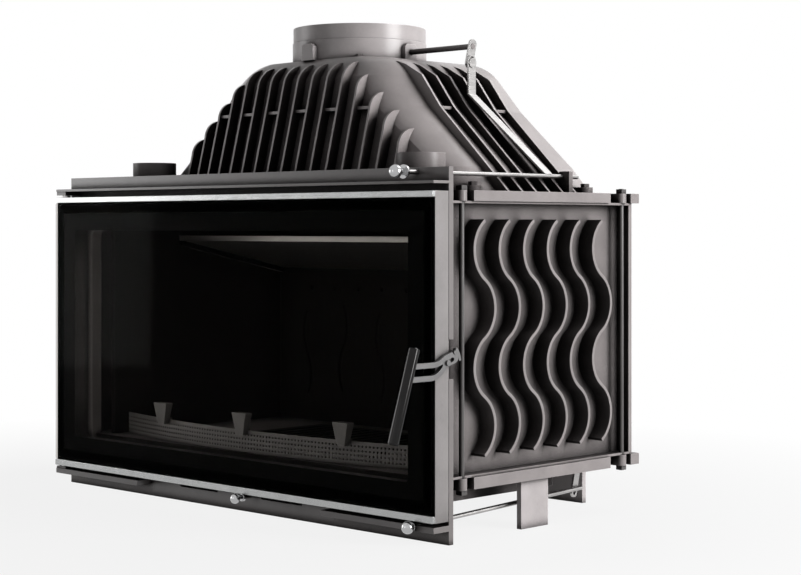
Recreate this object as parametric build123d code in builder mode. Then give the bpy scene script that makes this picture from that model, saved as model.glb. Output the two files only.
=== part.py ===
from build123d import *
import os
from math import atan2, cos, degrees, hypot, pi, radians, sin, tan

os.makedirs("parts", exist_ok=True)

# Cast iron fireplace insert. Sizes are in millimetres.
# X runs to the right as seen from the front, Y to the back, Z up.
# The origin is the middle of the front plate's foot, half way through its thickness.

# Clearances
running = 0.3
seating = 0.1
seam = 0.4

# Front plate
front_width = 800.0
plate_above_door = 30.5
plate_thick = 8.0
jamb_inset = 55.0
opening_low = 70.0
opening_margin = 90.5
opening_corner = 10.0
jamb_width = 6.0
jamb_depth = 9.0
shelf_depth = 28.0
shelf_thick = 3.5
shelf_gap = 9.2
foot_shelf_thick = 7.3
foot_shelf_gap = 5.2
lug_width = 23.0
lug_gap = 3.5
foot_lug_gap = 2.0
latch_recess_depth = 8.0
latch_recess_height = 50.0
latch_recess_drop = 9.0

# Lower front panel and its air slide
panel_width = 388.6
panel_height = 58.0
air_slot_inner = 46.0
air_slot_width = 85.0
air_slot_low = 20.0
air_slot_height = 22.0
slide_thick = 3.0
slide_height = 38.0
slide_low = 12.0
slide_web = 14.0
slide_travel = 38.0
slide_knob_x = 37.0
slide_knob_z = 24.3
slide_stem_radius = 2.5
slide_ball_radius = 6.8
slide_collar_radius = 5.0
slide_collar_back = 13.5
slide_end = 6.0
slide_web_inset = 32.0
air_slot_corner = 3.0
rail_inset = 10.0
rail_lip_cover = 4.0
guide_lip = 2.0
guide_foot = 5.4

# Door
door_low = 30.0
door_height = 412.5
door_gap = 1.0
frame_depth = 24.0
frame_width = 45.0
frame_corner = 12.0
swing_corner = 9.0
gasket_thick = 1.0
gasket_width = 14.0
glass_thick = 4.0
glass_inset = 0.8
trim_top_height = 8.0
trim_foot_height = 9.0
rope_offset = 4.5
rope_width = 9.0
rope_groove = 9.0
pocket_inner = 18.0
pocket_outer = 37.0
pocket_depth = 9.0
pivot_boss = 30.0
screw_count = 3
screw_radius = 1.8
screw_head_radius = 3.2
screw_head_height = 2.5
hinge_inset = 12.0
hinge_depth = 18.0
hinge_radius = 4.0
hinge_hold = 27.0
hinge_washer = 3.0
gasket_inset = 4.0

# Handle and its catch
pivot_back = 9.0
pivot_drop = 7.75
pivot_radius = 2.2
pivot_head_radius = 3.6
arm_gap = 1.5
arm_thick = 5.0
arm_width = 6.6
arm_spacing = 16.0
grip_radius = 7.0
grip_length = 121.0
grip_lean = 18.3
grip_reach = 36.0
grip_top_rise = 21.0
stud_radius = 2.5
stud_rise = 12.5
nose_width = 4.0
pivot_head_height = 2.6
strip_drop = 1.5
strip_turns = (26.0, 30.0)
strip_ends = ((2.0, 7.0), (3.0, -2.0))
hub_width = 15.0
hub_start = (-2.0, 2.0)
hub_end = (-2.5, -6.5)
hook_root = (-1.0, -5.5)
hook_root_wall = 3.0
hook_turn = 8.0
channel_turn = 40.0
slide_off = (-4.0, 4.0)
hook_clear = 2.9

# Body: top and bottom plates, walls and tie rods
body_low = 65.0
rim_height = 15.0
top_rim_height = 13.4
skin_thick = 7.0
lid_above_door = 1.3
body_back = 390.0
shoulder = 43.0
shoulder_step = 20.0
rear_notch_front = 325.0
rear_ear_front = 371.0
rim_width = 30.0
rim_corner = 12.0
wall_thick = 6.0
wall_inset = 24.0
back_wall_front = 371.0
back_wall_thick = 7.0
back_rib_depth = 8.0
back_rib_thick = 6.0
back_rib_count = 7
back_rib_margin = 30.0
lip_reach = 20.0
lip_thick = 3.0
fin_count = 6
fin_pitch = 48.4
fin_first = 64.0
fin_thick = 4.0
fin_half_wave = 75.0
fin_half_waves = 4
fin_swing = 20.0
fin_foot = 25.5
rod_radius = 3.5
rod_inset = 7.0
rod_front_y = 27.0
rod_back_y = 358.0
boss_radius = 7.0
nut_size = 10.0
nut_height = 6.0
rod_stub = 0.5

# Hood
hood_sections = (
    # height above the foot, half width, front, front bow ends, corner, back
    (0.0, 338.0, 69.0, 303.0, 180.0, 360.0),
    (35.0, 308.0, 78.0, 270.0, 175.0, 358.0),
    (120.0, 216.0, 99.0, 160.0, 175.0, 352.0),
    (166.0, 177.0, 109.0, 118.0, 168.0, 348.0),
    (188.0, 150.0, 124.0, 102.0, 170.0, 342.0),
    (196.0, 118.0, 131.0, 84.0, 172.0, 336.0),
)
straight_levels = 4
hood_wall = 6.5
hood_bow = 2250.0
hood_bend = (0.30, 0.38)
mouth_inset = 2.0
rib_count = 16
rib_pitch = 29.2
rib_thick = 3.6
rib_rollover = 26.0
rib_full_height_x = 109.2
rib_top_fall = 0.91
rib_top_drop = 8.0
rib_run_out = 6.0
rib_round = 0.38
side_rib_inner = 100.0
tie_set_in = 5.0
tie_gaps = (2, 4, 6, 8, 10, 12)
side_tie_gaps = (0, 4)
side_rib_count = 6
side_rib_pitch = 28.5
tie_height = 119.0
tie_thick = 4.0
hood_lug_radius = 11.0
hood_lug_height = 9.0
hood_bolt_radius = 3.0
hood_bolt_head = 6.5
hood_bolt_head_height = 5.0
front_lug_offset = (-14.0, 56.0)
rear_lug_offset = (10.0, -26.0)
lug_roots = ((-24.0, 30.0), (-30.0, 0.0))
collar_bolt_circle = 107.0
collar_bolt_radius = 2.6
collar_bolt_head = 5.5
collar_bolt_head_height = 3.0
collar_bolt_angles = (-45.0, 60.0, 165.0)
collar_lug_radius = 7.5
collar_lug_height = 3.0

# Flue collar and damper
flue_y = 233.0
collar_radius = 100.0
collar_wall = 6.0
collar_height = 52.0
smoke_depth = 210.0
smoke_inset = 60.0
smoke_corner = 25.0
spigot_turned = 22.0
spigot_radius = 99.0
damper_axis_rise = 12.0
damper_radius = 88.0
damper_thick = 3.0
damper_tilt = 24.0
saddle_width = 16.0
shaft_radius = 4.0
shaft_reach = 228.0
shaft_bearing = 107.0
shaft_stub = 3.0
pad_width = 24.0
pad_height = 24.0
pad_corner = 4.0
crank_length = 25.0
crank_lean = 15.0
crank_width = 14.0
crank_thick = 3.0
crank_head = 10.0
crank_pin_radius = 2.5
link_gap = 1.5
link_thick = 3.0
link_width = 15.0
link_slot_travel = 9.0
link_slot_clear = 1.4
link_slot_start = 1.0
link_eye_wall = 7.0
link_drop = 33.0
damper_rod_inset = 55.0
damper_rod_drop = 6.0
damper_rod_radius = 3.0
damper_rod_end = 320.0
damper_bracket_y = 287.0
damper_bracket_thick = 8.0
damper_bracket_width = 18.0
damper_bracket_shift = 3.5
link_foot_y = 256.0
knob_radius = 8.7
knob_reach = 43.0
knob_collar_radius = 9.0
knob_collar_thick = 3.0
knob_collar_back = 15.0
knob_bore_depth = 4.0
knob_neck_wall = 1.6

# Air spigots on the top plate
air_spigot_radius = 33.0
air_spigot_wall = 4.0
air_spigot_height = 51.4
air_spigot_inset = 117.0
air_spigot_y = 68.0

# Lower rod, its lever and the flap
low_knob_radius = 8.0
low_rod_inset = 34.0
low_rod_z = 23.0
low_rod_radius = 3.0
low_rod_slope = 2.3
low_collar_radius = 5.0
flap_axis_y = 300.0
flap_axis_z = 60.0
flap_shaft_radius = 3.5
lever_pin_ahead = 5.5
low_rod_tail = 8.0
lever_thick = 3.0
lever_width = 11.0
lever_gap = 1.0
lever_pin_radius = 2.0
lever_slot_clear = 0.9
lever_slot_travel = 5.0
flap_open = 23.5
flap_height = 24.0
flap_thick = 2.0
flap_inner = 150.0
flap_outer = 300.0
flap_shaft_end = 14.0
bearing_thick = 4.0
bearing_height = 18.0
bearing_clear = 6.0
bearing_back = 7.0
window_height = 15.0
window_inset = 6.0

# Legs
side_leg_front = 149.0
side_leg_width = 55.0
side_leg_thick = 7.5
side_leg_inset = 12.0
side_leg_flange = 8.0
leg_flange = 4.0
rear_leg_inset = 126.6
rear_leg_width = 63.6
rear_leg_thick = 8.0
rear_leg_flange = 16.0

# Ash box, pan and grate
box_inset = 80.0
box_front = 35.0
box_back = 296.0
box_low = 36.0
box_wall = 3.0
pan_wall = 2.0
grate_width = 300.0
grate_depth = 200.0
grate_mid_y = 200.0
grate_thick = 9.0
grate_ledge = 8.0
grate_bars = 11
grate_frame = 12.0
grate_slot = 12.0
pan_clear = 3.0
pan_top_gap = 4.0
pan_corner = 8.0

# Linings and log guard
liner_inset = 80.0
liner_thick = 8.0
liner_top_gap = 30.4
liner_front = 20.0
fireback_gap = 1.0
air_hole_count = 10
air_hole_pitch = 54.0
air_hole_rise = 218.0
air_hole_radius = 4.0
groove_depth = 2.5
groove_count = 7
groove_pitch = 84.0
groove_width = 7.0
groove_foot = 40.0
groove_step = 12.0
groove_half_wave = 70.0
groove_swing = 9.0
baffle_thick = 8.0
baffle_drop = 100.4
baffle_slope = 12.0
baffle_depth = 215.0
ledge_reach = 10.0
ledge_thick = 8.0
guard_clear = 2.0
guard_height = 31.0
guard_thick = 2.0
guard_end_y = 46.0
guard_mid_y = 9.0
post_spacing = 192.0
post_top = 29.0
post_foot = 14.0
post_height = 31.0
post_depth = 13.0
post_wall = 2.0
post_overlap = 6.0
post_foot_narrow = 4.0
post_end_gap = 1.5
hook_width = 8.0
hook_thick = 2.0
hook_drop = 6.0
hook_gap = 1.0
hook_end_gap = 0.5

# Places worked out from the sizes
edge = front_width / 2
front_face = -plate_thick / 2
back_face = plate_thick / 2
door_top = door_low + door_height
door_mid = door_low + door_height / 2
plate_height = door_top + plate_above_door
opening_width = front_width - 2 * jamb_inset
opening_height = door_height - opening_margin
opening_mid = opening_low + opening_height / 2
air_slot_mid = air_slot_inner + air_slot_width / 2
frame_back = front_face - door_gap
frame_front = frame_back - frame_depth
glass_back = frame_front - gasket_thick
glass_front = glass_back - glass_thick
shelf_low = door_top + shelf_gap
foot_shelf_top = door_low - foot_shelf_gap
hinge_x = hinge_inset - edge
hinge_y = front_face - hinge_depth
pivot_y = frame_back - pivot_back
pivot_height = door_mid - pivot_drop
arm_face = edge + arm_gap
stud_y = 0.0
stud_z = pivot_height + stud_rise
rim_top = body_low + rim_height
lid_top = door_top + lid_above_door
lid_low = lid_top - top_rim_height
side_height = lid_low - rim_top
wall_face = edge - wall_inset
rod_x = edge - rod_inset
rod_places = [(side * rod_x, y) for side in (-1, 1) for y in (rod_front_y, rod_back_y)]
bore_radius = collar_radius - collar_wall
hood_height = hood_sections[-1][0]
collar_low = lid_top + hood_height
damper_z = collar_low + damper_axis_rise
damper_rod_x = edge - damper_rod_inset
damper_rod_z = plate_height - damper_rod_drop
low_rod_x = edge - low_rod_inset
air_spigot_x = edge - air_spigot_inset
box_side = edge - box_inset
liner_face = edge - liner_inset
liner_height = side_height - liner_top_gap
fireback_face = back_wall_front - fireback_gap - liner_thick
air_hole_z = rim_top + air_hole_rise
baffle_back_z = lid_low - baffle_drop


def front_plane(y):
    """Upright plane at depth y that faces the front, x to the right and z up."""
    return Plane.XZ.offset(-y)


def side_plane(x):
    """Upright plane at x that faces right, its first axis to the back and its second up."""
    return Plane.YZ.offset(x)


def band(width, height, inner, outer, corner):
    """Band round an opening, from inner to outer outside the opening's edge."""
    RectangleRounded(width + 2 * outer, height + 2 * outer, corner + outer)
    RectangleRounded(width + 2 * inner, height + 2 * inner, corner + inner, mode=Mode.SUBTRACT)


def slot_between(start, stop, width, mode=Mode.ADD):
    """Rounded slot with its end centres at start and stop."""
    run = hypot(stop[0] - start[0], stop[1] - start[1])
    turn = degrees(atan2(stop[1] - start[1], stop[0] - start[0]))
    with Locations(((start[0] + stop[0]) / 2, (start[1] + stop[1]) / 2)):
        SlotCenterToCenter(run, width, rotation=turn, mode=mode)


# Lower rod: it climbs to the back, so its holes and its knob share one sloping line
rod_rise = tan(radians(low_rod_slope))
low_rod_y = -knob_reach
low_rod_line = Plane(
    origin=(low_rod_x, low_rod_y, low_rod_z),
    x_dir=(1, 0, 0),
    z_dir=(0, cos(radians(low_rod_slope)), sin(radians(low_rod_slope))),
)

# Front plate with its opening, jambs, shelves and hinge lugs
with BuildPart() as front_plate:
    with BuildSketch(front_plane(back_face)):
        with Locations((0, plate_height / 2)):
            Rectangle(front_width, plate_height)
        with Locations((0, opening_mid)):
            RectangleRounded(opening_width, opening_height, opening_corner, mode=Mode.SUBTRACT)
        with Locations((0, (panel_height + seam) / 2)):
            Rectangle(panel_width + 2 * seam, panel_height + seam, mode=Mode.SUBTRACT)
        with Locations((edge - latch_recess_depth / 2, stud_z - latch_recess_drop)):
            Rectangle(latch_recess_depth, latch_recess_height, mode=Mode.SUBTRACT)
    extrude(amount=plate_thick)
    with BuildSketch(front_plane(back_face + jamb_depth)):
        with Locations((0, opening_mid)):
            band(opening_width, opening_height, 0, jamb_width, opening_corner)
        with Locations((0, rim_top / 2)):
            Rectangle(front_width, rim_top, mode=Mode.SUBTRACT)
    extrude(amount=jamb_depth)
    with BuildSketch(front_plane(front_face)):
        with Locations((0, shelf_low + shelf_thick / 2)):
            Rectangle(front_width, shelf_thick)
        for side in (-1, 1):
            inner = side * (panel_width / 2 + seam)
            bevel = inner + side * foot_shelf_thick / 2
            Polygon(
                (inner, foot_shelf_top),
                (side * edge, foot_shelf_top),
                (side * edge, foot_shelf_top - foot_shelf_thick),
                (bevel, foot_shelf_top - foot_shelf_thick),
                align=None,
            )
    extrude(amount=shelf_depth)
    with BuildSketch(front_plane(front_face)):
        upper_lug = shelf_gap - lug_gap
        with Locations((-edge + lug_width / 2, shelf_low - upper_lug / 2)):
            Rectangle(lug_width, upper_lug)
        lower_lug = foot_shelf_gap - foot_lug_gap
        with Locations((-edge + lug_width / 2, foot_shelf_top + lower_lug / 2)):
            Rectangle(lug_width, lower_lug)
    extrude(amount=shelf_depth - 1)
    with BuildSketch(Plane.XY):
        with Locations((hinge_x, hinge_y)):
            Circle(hinge_radius + running)
    extrude(amount=plate_height, mode=Mode.SUBTRACT)
    with BuildSketch(front_plane(back_face)):
        with Locations((damper_rod_x, damper_rod_z)):
            Circle(damper_rod_radius + running)
    extrude(amount=plate_thick, mode=Mode.SUBTRACT)
    with BuildSketch(low_rod_line):
        Circle(low_rod_radius + running)
        with Locations((0, -low_rod_radius - running)):
            Rectangle(2 * (low_rod_radius + running), 2 * (low_rod_radius + running))
    extrude(amount=knob_reach + front_face, mode=Mode.SUBTRACT)
    with BuildSketch(low_rod_line):
        Circle(low_rod_radius + running)
    extrude(amount=knob_reach + plate_thick, mode=Mode.SUBTRACT)
    with BuildSketch(side_plane(edge - latch_recess_depth)):
        with Locations((stud_y, stud_z)):
            Circle(stud_radius + seating)
    extrude(amount=-latch_recess_depth, mode=Mode.SUBTRACT)
front_plate.part.label = "front_plate"
export_step(front_plate.part, "parts/front_plate.step")

# Catch stud for the handle's hook
with BuildPart() as catch_stud:
    with BuildSketch(side_plane(edge - 2 * latch_recess_depth)):
        with Locations((stud_y, stud_z)):
            Circle(stud_radius)
    extrude(amount=2 * latch_recess_depth + arm_gap + arm_thick + 1)
catch_stud.part.label = "catch_stud"
export_step(catch_stud.part, "parts/catch_stud.step")

# Lower front panel with two air slots and the slot of the knob's stem
stem_slot_stop = slide_knob_x
stem_slot_start = slide_knob_x - slide_travel
with BuildPart() as lower_front_panel:
    with BuildSketch(front_plane(back_face)):
        with Locations((0, panel_height / 2)):
            Rectangle(panel_width, panel_height)
        for side in (-1, 1):
            with Locations((side * air_slot_mid, air_slot_low + air_slot_height / 2)):
                RectangleRounded(air_slot_width, air_slot_height, air_slot_corner, mode=Mode.SUBTRACT)
        slot_between(
            (stem_slot_start, slide_knob_z),
            (stem_slot_stop, slide_knob_z),
            2 * (slide_stem_radius + running),
            Mode.SUBTRACT,
        )
    extrude(amount=plate_thick)
lower_front_panel.part.label = "lower_front_panel"
export_step(lower_front_panel.part, "parts/lower_front_panel.step")

# Rails that carry the air slide behind the panel
slide_front = back_face + running
slide_back = slide_front + slide_thick
rail_length = panel_width - 2 * rail_inset
with BuildPart() as air_slide_rails:
    with BuildSketch(side_plane(-rail_length / 2)):
        for foot, turn in ((slide_low, -1), (slide_low + slide_height, 1)):
            near = foot + turn * running
            far = near + turn * guide_foot
            lip = foot - turn * rail_lip_cover
            Polygon(
                (back_face, near),
                (back_face, far),
                (slide_back + running + guide_lip, far),
                (slide_back + running + guide_lip, lip),
                (slide_back + running, lip),
                (slide_back + running, near),
                align=None,
            )
    extrude(amount=rail_length)
air_slide_rails.part.label = "air_slide_rails"
export_step(air_slide_rails.part, "parts/air_slide_rails.step")

# Air slide: windows that meet the panel's slots, with a web across each
slide_reach = air_slot_inner + air_slot_width
slide_width = 2 * (slide_reach + slide_end)
with BuildPart() as air_slide:
    with BuildSketch(front_plane(slide_back)):
        with Locations((0, slide_low + slide_height / 2)):
            Rectangle(slide_width, slide_height)
        window_mid = air_slot_low + air_slot_height / 2
        for side in (-1, 1):
            web = side * (slide_reach - slide_web_inset)
            outer_width = slide_reach - abs(web) - slide_web / 2
            inner_width = abs(web) - slide_web / 2 - air_slot_inner
            with Locations((side * (slide_reach - outer_width / 2), window_mid)):
                Rectangle(outer_width, air_slot_height, mode=Mode.SUBTRACT)
            with Locations((side * (air_slot_inner + inner_width / 2), window_mid)):
                Rectangle(inner_width, air_slot_height, mode=Mode.SUBTRACT)
    extrude(amount=slide_thick)
    with BuildSketch(front_plane(slide_front)):
        with Locations((slide_knob_x, slide_knob_z)):
            Circle(slide_stem_radius)
    extrude(amount=slide_front + knob_reach - knob_bore_depth)
air_slide.part.label = "air_slide"
export_step(air_slide.part, "parts/air_slide.step")


def knob(plane, ball, collar, collar_back, bore):
    """Ball at the plane's origin with a round collar behind it, bored for its stem."""
    neck = bore + knob_neck_wall
    back = (ball**2 - neck**2) ** 0.5
    near = collar_back - knob_collar_thick / 2
    far = collar_back + knob_collar_thick / 2
    with BuildPart() as piece:
        with BuildSketch(Plane(origin=plane.origin, x_dir=plane.z_dir, z_dir=plane.x_dir)):
            with BuildLine():
                ThreePointArc((-ball, 0), (0, ball), (back, neck))
                Polyline(
                    (back, neck),
                    (near, neck),
                    (near, collar),
                    (far, collar),
                    (far, bore),
                    (knob_bore_depth, bore),
                    (knob_bore_depth, 0),
                    (-ball, 0),
                )
            make_face()
        revolve(axis=Axis(plane.origin, plane.z_dir))
    return piece


slide_knob_plane = Plane(
    origin=(slide_knob_x, -knob_reach, slide_knob_z), x_dir=(1, 0, 0), z_dir=(0, 1, 0)
)
air_slide_knob = knob(
    slide_knob_plane, slide_ball_radius, slide_collar_radius, slide_collar_back, slide_stem_radius
)
air_slide_knob.part.label = "air_slide_knob"
export_step(air_slide_knob.part, "parts/air_slide_knob.step")

# Door frame: rope groove and a lightening pocket behind, rounded where it swings past the plate
door_opening_width = front_width - 2 * frame_width
door_opening_height = door_height - 2 * frame_width
screw_inset = (frame_width - pocket_outer) / 2
screw_rows = (door_low + screw_inset, door_top - screw_inset)
screw_step = door_opening_width / (screw_count - 1)
with BuildPart() as door_frame:
    with BuildSketch(Plane.XY.offset(door_low)) as plan:
        with Locations((0, (frame_back + frame_front) / 2)):
            Rectangle(front_width, frame_depth)
        fillet(plan.vertices().group_by(Axis.X)[0].sort_by(Axis.Y)[-1], swing_corner)
    extrude(amount=door_height)
    with BuildSketch(front_plane(frame_back)):
        with Locations((0, door_mid)):
            RectangleRounded(door_opening_width, door_opening_height, frame_corner)
    extrude(amount=frame_depth, mode=Mode.SUBTRACT)
    with BuildSketch(front_plane(frame_back)):
        with Locations((0, door_mid)):
            band(
                door_opening_width,
                door_opening_height,
                rope_offset,
                rope_offset + rope_width,
                frame_corner,
            )
    extrude(amount=rope_groove, mode=Mode.SUBTRACT)
    with BuildSketch(front_plane(frame_back)):
        with Locations((0, door_mid)):
            band(door_opening_width, door_opening_height, pocket_inner, pocket_outer, frame_corner)
        with Locations((edge - frame_width / 2, pivot_height)):
            Rectangle(frame_width, pivot_boss, mode=Mode.SUBTRACT)
    extrude(amount=pocket_depth, mode=Mode.SUBTRACT)
    with BuildSketch(Plane.XY.offset(door_low)):
        with Locations((hinge_x, hinge_y)):
            Circle(hinge_radius + seating)
    extrude(amount=hinge_hold, mode=Mode.SUBTRACT)
    with BuildSketch(Plane.XY.offset(door_top)):
        with Locations((hinge_x, hinge_y)):
            Circle(hinge_radius + seating)
    extrude(amount=-hinge_hold, mode=Mode.SUBTRACT)
    with BuildSketch(side_plane(edge)):
        with Locations((pivot_y, pivot_height)):
            Circle(pivot_radius + seating)
    extrude(amount=-hinge_inset, mode=Mode.SUBTRACT)
    for row in screw_rows:
        with BuildSketch(front_plane(frame_back)):
            with Locations((0, row)):
                with GridLocations(screw_step, 1, screw_count, 1):
                    Circle(screw_head_radius + seating)
        extrude(amount=screw_head_height, mode=Mode.SUBTRACT)
        with BuildSketch(front_plane(frame_back)):
            with Locations((0, row)):
                with GridLocations(screw_step, 1, screw_count, 1):
                    Circle(screw_radius + seating)
        extrude(amount=frame_depth, mode=Mode.SUBTRACT)
door_frame.part.label = "door_frame"
export_step(door_frame.part, "parts/door_frame.step")

# Screws from behind that hold the two trim strips
with BuildPart() as trim_screws:
    for row in screw_rows:
        with BuildSketch(front_plane(frame_back)):
            with Locations((0, row)):
                with GridLocations(screw_step, 1, screw_count, 1):
                    Circle(screw_head_radius)
        extrude(amount=screw_head_height)
        with BuildSketch(front_plane(frame_back)):
            with Locations((0, row)):
                with GridLocations(screw_step, 1, screw_count, 1):
                    Circle(screw_radius)
        extrude(amount=frame_depth)
trim_screws.part.label = "trim_screws"
export_step(trim_screws.part, "parts/trim_screws.step")

# Rope seal in its groove, its crown just clear of the plate
with BuildPart() as door_rope_seal:
    with BuildSketch(front_plane(front_face - running)):
        with Locations((0, door_mid)):
            band(
                door_opening_width,
                door_opening_height,
                rope_offset + seating,
                rope_offset + rope_width - seating,
                frame_corner,
            )
    extrude(amount=rope_groove + door_gap - running)
    crown = door_rope_seal.faces().sort_by(Axis.Y)[-1]
    chamfer(crown.edges(), rope_width / 3)
door_rope_seal.part.label = "door_rope_seal"
export_step(door_rope_seal.part, "parts/door_rope_seal.step")

# Trim strips above and below the glass
trims = (
    ("door_trim_top", door_top - trim_top_height, trim_top_height),
    ("door_trim_foot", door_low, trim_foot_height),
)
for trim_name, trim_low, trim_height in trims:
    with BuildPart() as trim_strip:
        with BuildSketch(front_plane(frame_front)):
            with Locations((0, trim_low + trim_height / 2)):
                RectangleRounded(front_width, trim_height, 1.2)
        extrude(amount=gasket_thick + glass_thick)
        chamfer(trim_strip.faces().sort_by(Axis.Y)[0].edges(), 0.5)
    trim_strip.part.label = trim_name
    export_step(trim_strip.part, f"parts/{trim_name}.step")

# Glass between the trims, and the flat gasket that it lies on
glass_low = door_low + trim_foot_height + running
glass_high = door_top - trim_top_height - running
glass_height = glass_high - glass_low
glass_mid = (glass_low + glass_high) / 2
with BuildPart() as door_glass:
    with BuildSketch(front_plane(glass_back)):
        with Locations((0, glass_mid)):
            RectangleRounded(front_width - 2 * glass_inset, glass_height, 2)
    extrude(amount=glass_thick)
    chamfer(door_glass.faces().sort_by(Axis.Y)[0].edges(), 0.6)
door_glass.part.label = "door_glass"
export_step(door_glass.part, "parts/door_glass.step")

gasket_outer_width = front_width - 2 * (glass_inset + gasket_inset)
gasket_outer_height = glass_height - gasket_inset
with BuildPart() as glass_gasket:
    with BuildSketch(front_plane(frame_front)):
        with Locations((0, glass_mid)):
            RectangleRounded(gasket_outer_width, gasket_outer_height, gasket_inset)
            RectangleRounded(
                gasket_outer_width - 2 * gasket_width,
                gasket_outer_height - 2 * gasket_width,
                2,
                mode=Mode.SUBTRACT,
            )
    extrude(amount=gasket_thick)
glass_gasket.part.label = "glass_gasket"
export_step(glass_gasket.part, "parts/glass_gasket.step")

# Hinge pins: fixed in the frame, turning in the lugs, each with a washer under the frame's end
with BuildPart() as door_hinge_pins:
    with BuildSketch(Plane.XY.offset(door_top - hinge_hold)):
        with Locations((hinge_x, hinge_y)):
            Circle(hinge_radius)
    extrude(amount=hinge_hold + shelf_gap + shelf_thick)
    with BuildSketch(Plane.XY.offset(door_top)):
        with Locations((hinge_x, hinge_y)):
            Circle(hinge_radius + hinge_washer)
    extrude(amount=lug_gap - running)
    with BuildSketch(Plane.XY.offset(foot_shelf_top - foot_shelf_thick)):
        with Locations((hinge_x, hinge_y)):
            Circle(hinge_radius)
    extrude(amount=hinge_hold + foot_shelf_gap + foot_shelf_thick)
    with BuildSketch(Plane.XY.offset(door_low)):
        with Locations((hinge_x, hinge_y)):
            Circle(hinge_radius + hinge_washer)
    extrude(amount=running - foot_lug_gap)
door_hinge_pins.part.label = "door_hinge_pins"
export_step(door_hinge_pins.part, "parts/door_hinge_pins.step")

# Pivot bolt of the handle in the frame's side
with BuildPart() as handle_pivot_bolt:
    with BuildSketch(side_plane(edge - hinge_inset)):
        with Locations((pivot_y, pivot_height)):
            Circle(pivot_radius)
    extrude(amount=hinge_inset + arm_gap + arm_thick + running)
    with BuildSketch(side_plane(arm_face + arm_thick + running)):
        with Locations((pivot_y, pivot_height)):
            Circle(pivot_head_radius)
    extrude(amount=pivot_head_height)
    with BuildSketch(side_plane(edge)):
        with Locations((pivot_y, pivot_height)):
            Circle(pivot_head_radius)
    extrude(amount=arm_gap - running)
handle_pivot_bolt.part.label = "handle_pivot_bolt"
export_step(handle_pivot_bolt.part, "parts/handle_pivot_bolt.step")

# Handle arm: two curved strips that join in one slotted plate with a hook
grip_top = (glass_front - grip_reach, pivot_height + grip_top_rise)
grip_foot = (
    grip_top[0] - grip_length * sin(radians(grip_lean)),
    grip_top[1] - grip_length * cos(radians(grip_lean)),
)


def grip_line_y(z):
    """Depth of the grip's centre line at height z."""
    return grip_top[0] - (grip_top[1] - z) * tan(radians(grip_lean))


stud_angle = degrees(atan2(stud_rise, stud_y - pivot_y))
stud_distance = hypot(stud_rise, stud_y - pivot_y)
nose_radius = stud_distance + hook_clear + nose_width / 2
nose = CenterArc((pivot_y, pivot_height), nose_radius, hook_turn, stud_angle - hook_turn)
channel = CenterArc((pivot_y, pivot_height), stud_distance, stud_angle, channel_turn)
with BuildPart() as handle_arm:
    with BuildSketch(side_plane(arm_face)):
        for index, (turn, end) in enumerate(zip(strip_turns, strip_ends)):
            strip_z = pivot_height - strip_drop - index * arm_spacing
            with BuildLine():
                run = Line((grip_line_y(strip_z), strip_z), (pivot_y - turn, strip_z))
                TangentArc(run @ 1, (pivot_y - end[0], pivot_height + end[1]), tangent=run % 1)
            trace(line_width=arm_width)
        hub_low = (pivot_y + hub_start[0], pivot_height + hub_start[1])
        slot_between(hub_low, (stud_y + hub_end[0], stud_z + hub_end[1]), hub_width)
        with Locations((stud_y + hook_root[0], stud_z + hook_root[1])):
            Circle(nose_radius - stud_distance + hook_root_wall)
        SlotArc(nose, nose_width)
        SlotArc(channel, 2 * hook_clear, mode=Mode.SUBTRACT)
        slot_between(
            (pivot_y, pivot_height),
            (stud_y + slide_off[0], pivot_height + slide_off[1]),
            2 * (pivot_radius + running),
            Mode.SUBTRACT,
        )
    extrude(amount=arm_thick)
    with BuildSketch(side_plane(arm_face)):
        slot_between(grip_top, grip_foot, 2 * grip_radius + 0.2)
    extrude(amount=arm_thick, mode=Mode.SUBTRACT)
handle_arm.part.label = "handle_arm"
export_step(handle_arm.part, "parts/handle_arm.step")

# Round grip bar with eased ends
grip_x = arm_face + arm_thick / 2
with BuildPart() as handle_grip:
    grip_plane = Plane(
        origin=(grip_x, grip_foot[0], grip_foot[1]),
        x_dir=(1, 0, 0),
        z_dir=(0, sin(radians(grip_lean)), cos(radians(grip_lean))),
    )
    with BuildSketch(grip_plane):
        Circle(grip_radius)
    extrude(amount=grip_length)
    chamfer(handle_grip.edges().filter_by(GeomType.CIRCLE), 1.5)
handle_grip.part.label = "handle_grip"
export_step(handle_grip.part, "parts/handle_grip.step")


def body_outline():
    """Outline of the top and bottom plates, with a notch and a round boss at each tie rod."""
    with Locations((0, (back_face + body_back) / 2)):
        Rectangle(front_width, body_back - back_face)
    for side in (-1, 1):
        for low, high in ((back_face, shoulder), (rear_notch_front, rear_ear_front)):
            with Locations((side * (edge - shoulder_step / 2), (low + high) / 2)):
                Rectangle(shoulder_step, high - low, mode=Mode.SUBTRACT)
    for x, y in rod_places:
        root = x * (1 - (shoulder_step + seam) / rod_x)
        slot_between((root, y), (x, y), 2 * boss_radius)


foot_half, foot_front, foot_back = hood_sections[0][1], hood_sections[0][2], hood_sections[0][5]
front_lug = (foot_half + front_lug_offset[0], foot_front + front_lug_offset[1])
rear_lug = (foot_half + rear_lug_offset[0], foot_back + rear_lug_offset[1])
hood_bolt_places = [(side * x, y) for side in (-1, 1) for x, y in (front_lug, rear_lug)]
pocket_front = back_face + rim_width
pocket_back = body_back - rim_width
pocket_mid = (pocket_front + pocket_back) / 2
grate_gap_width = grate_width - 2 * grate_ledge

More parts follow.
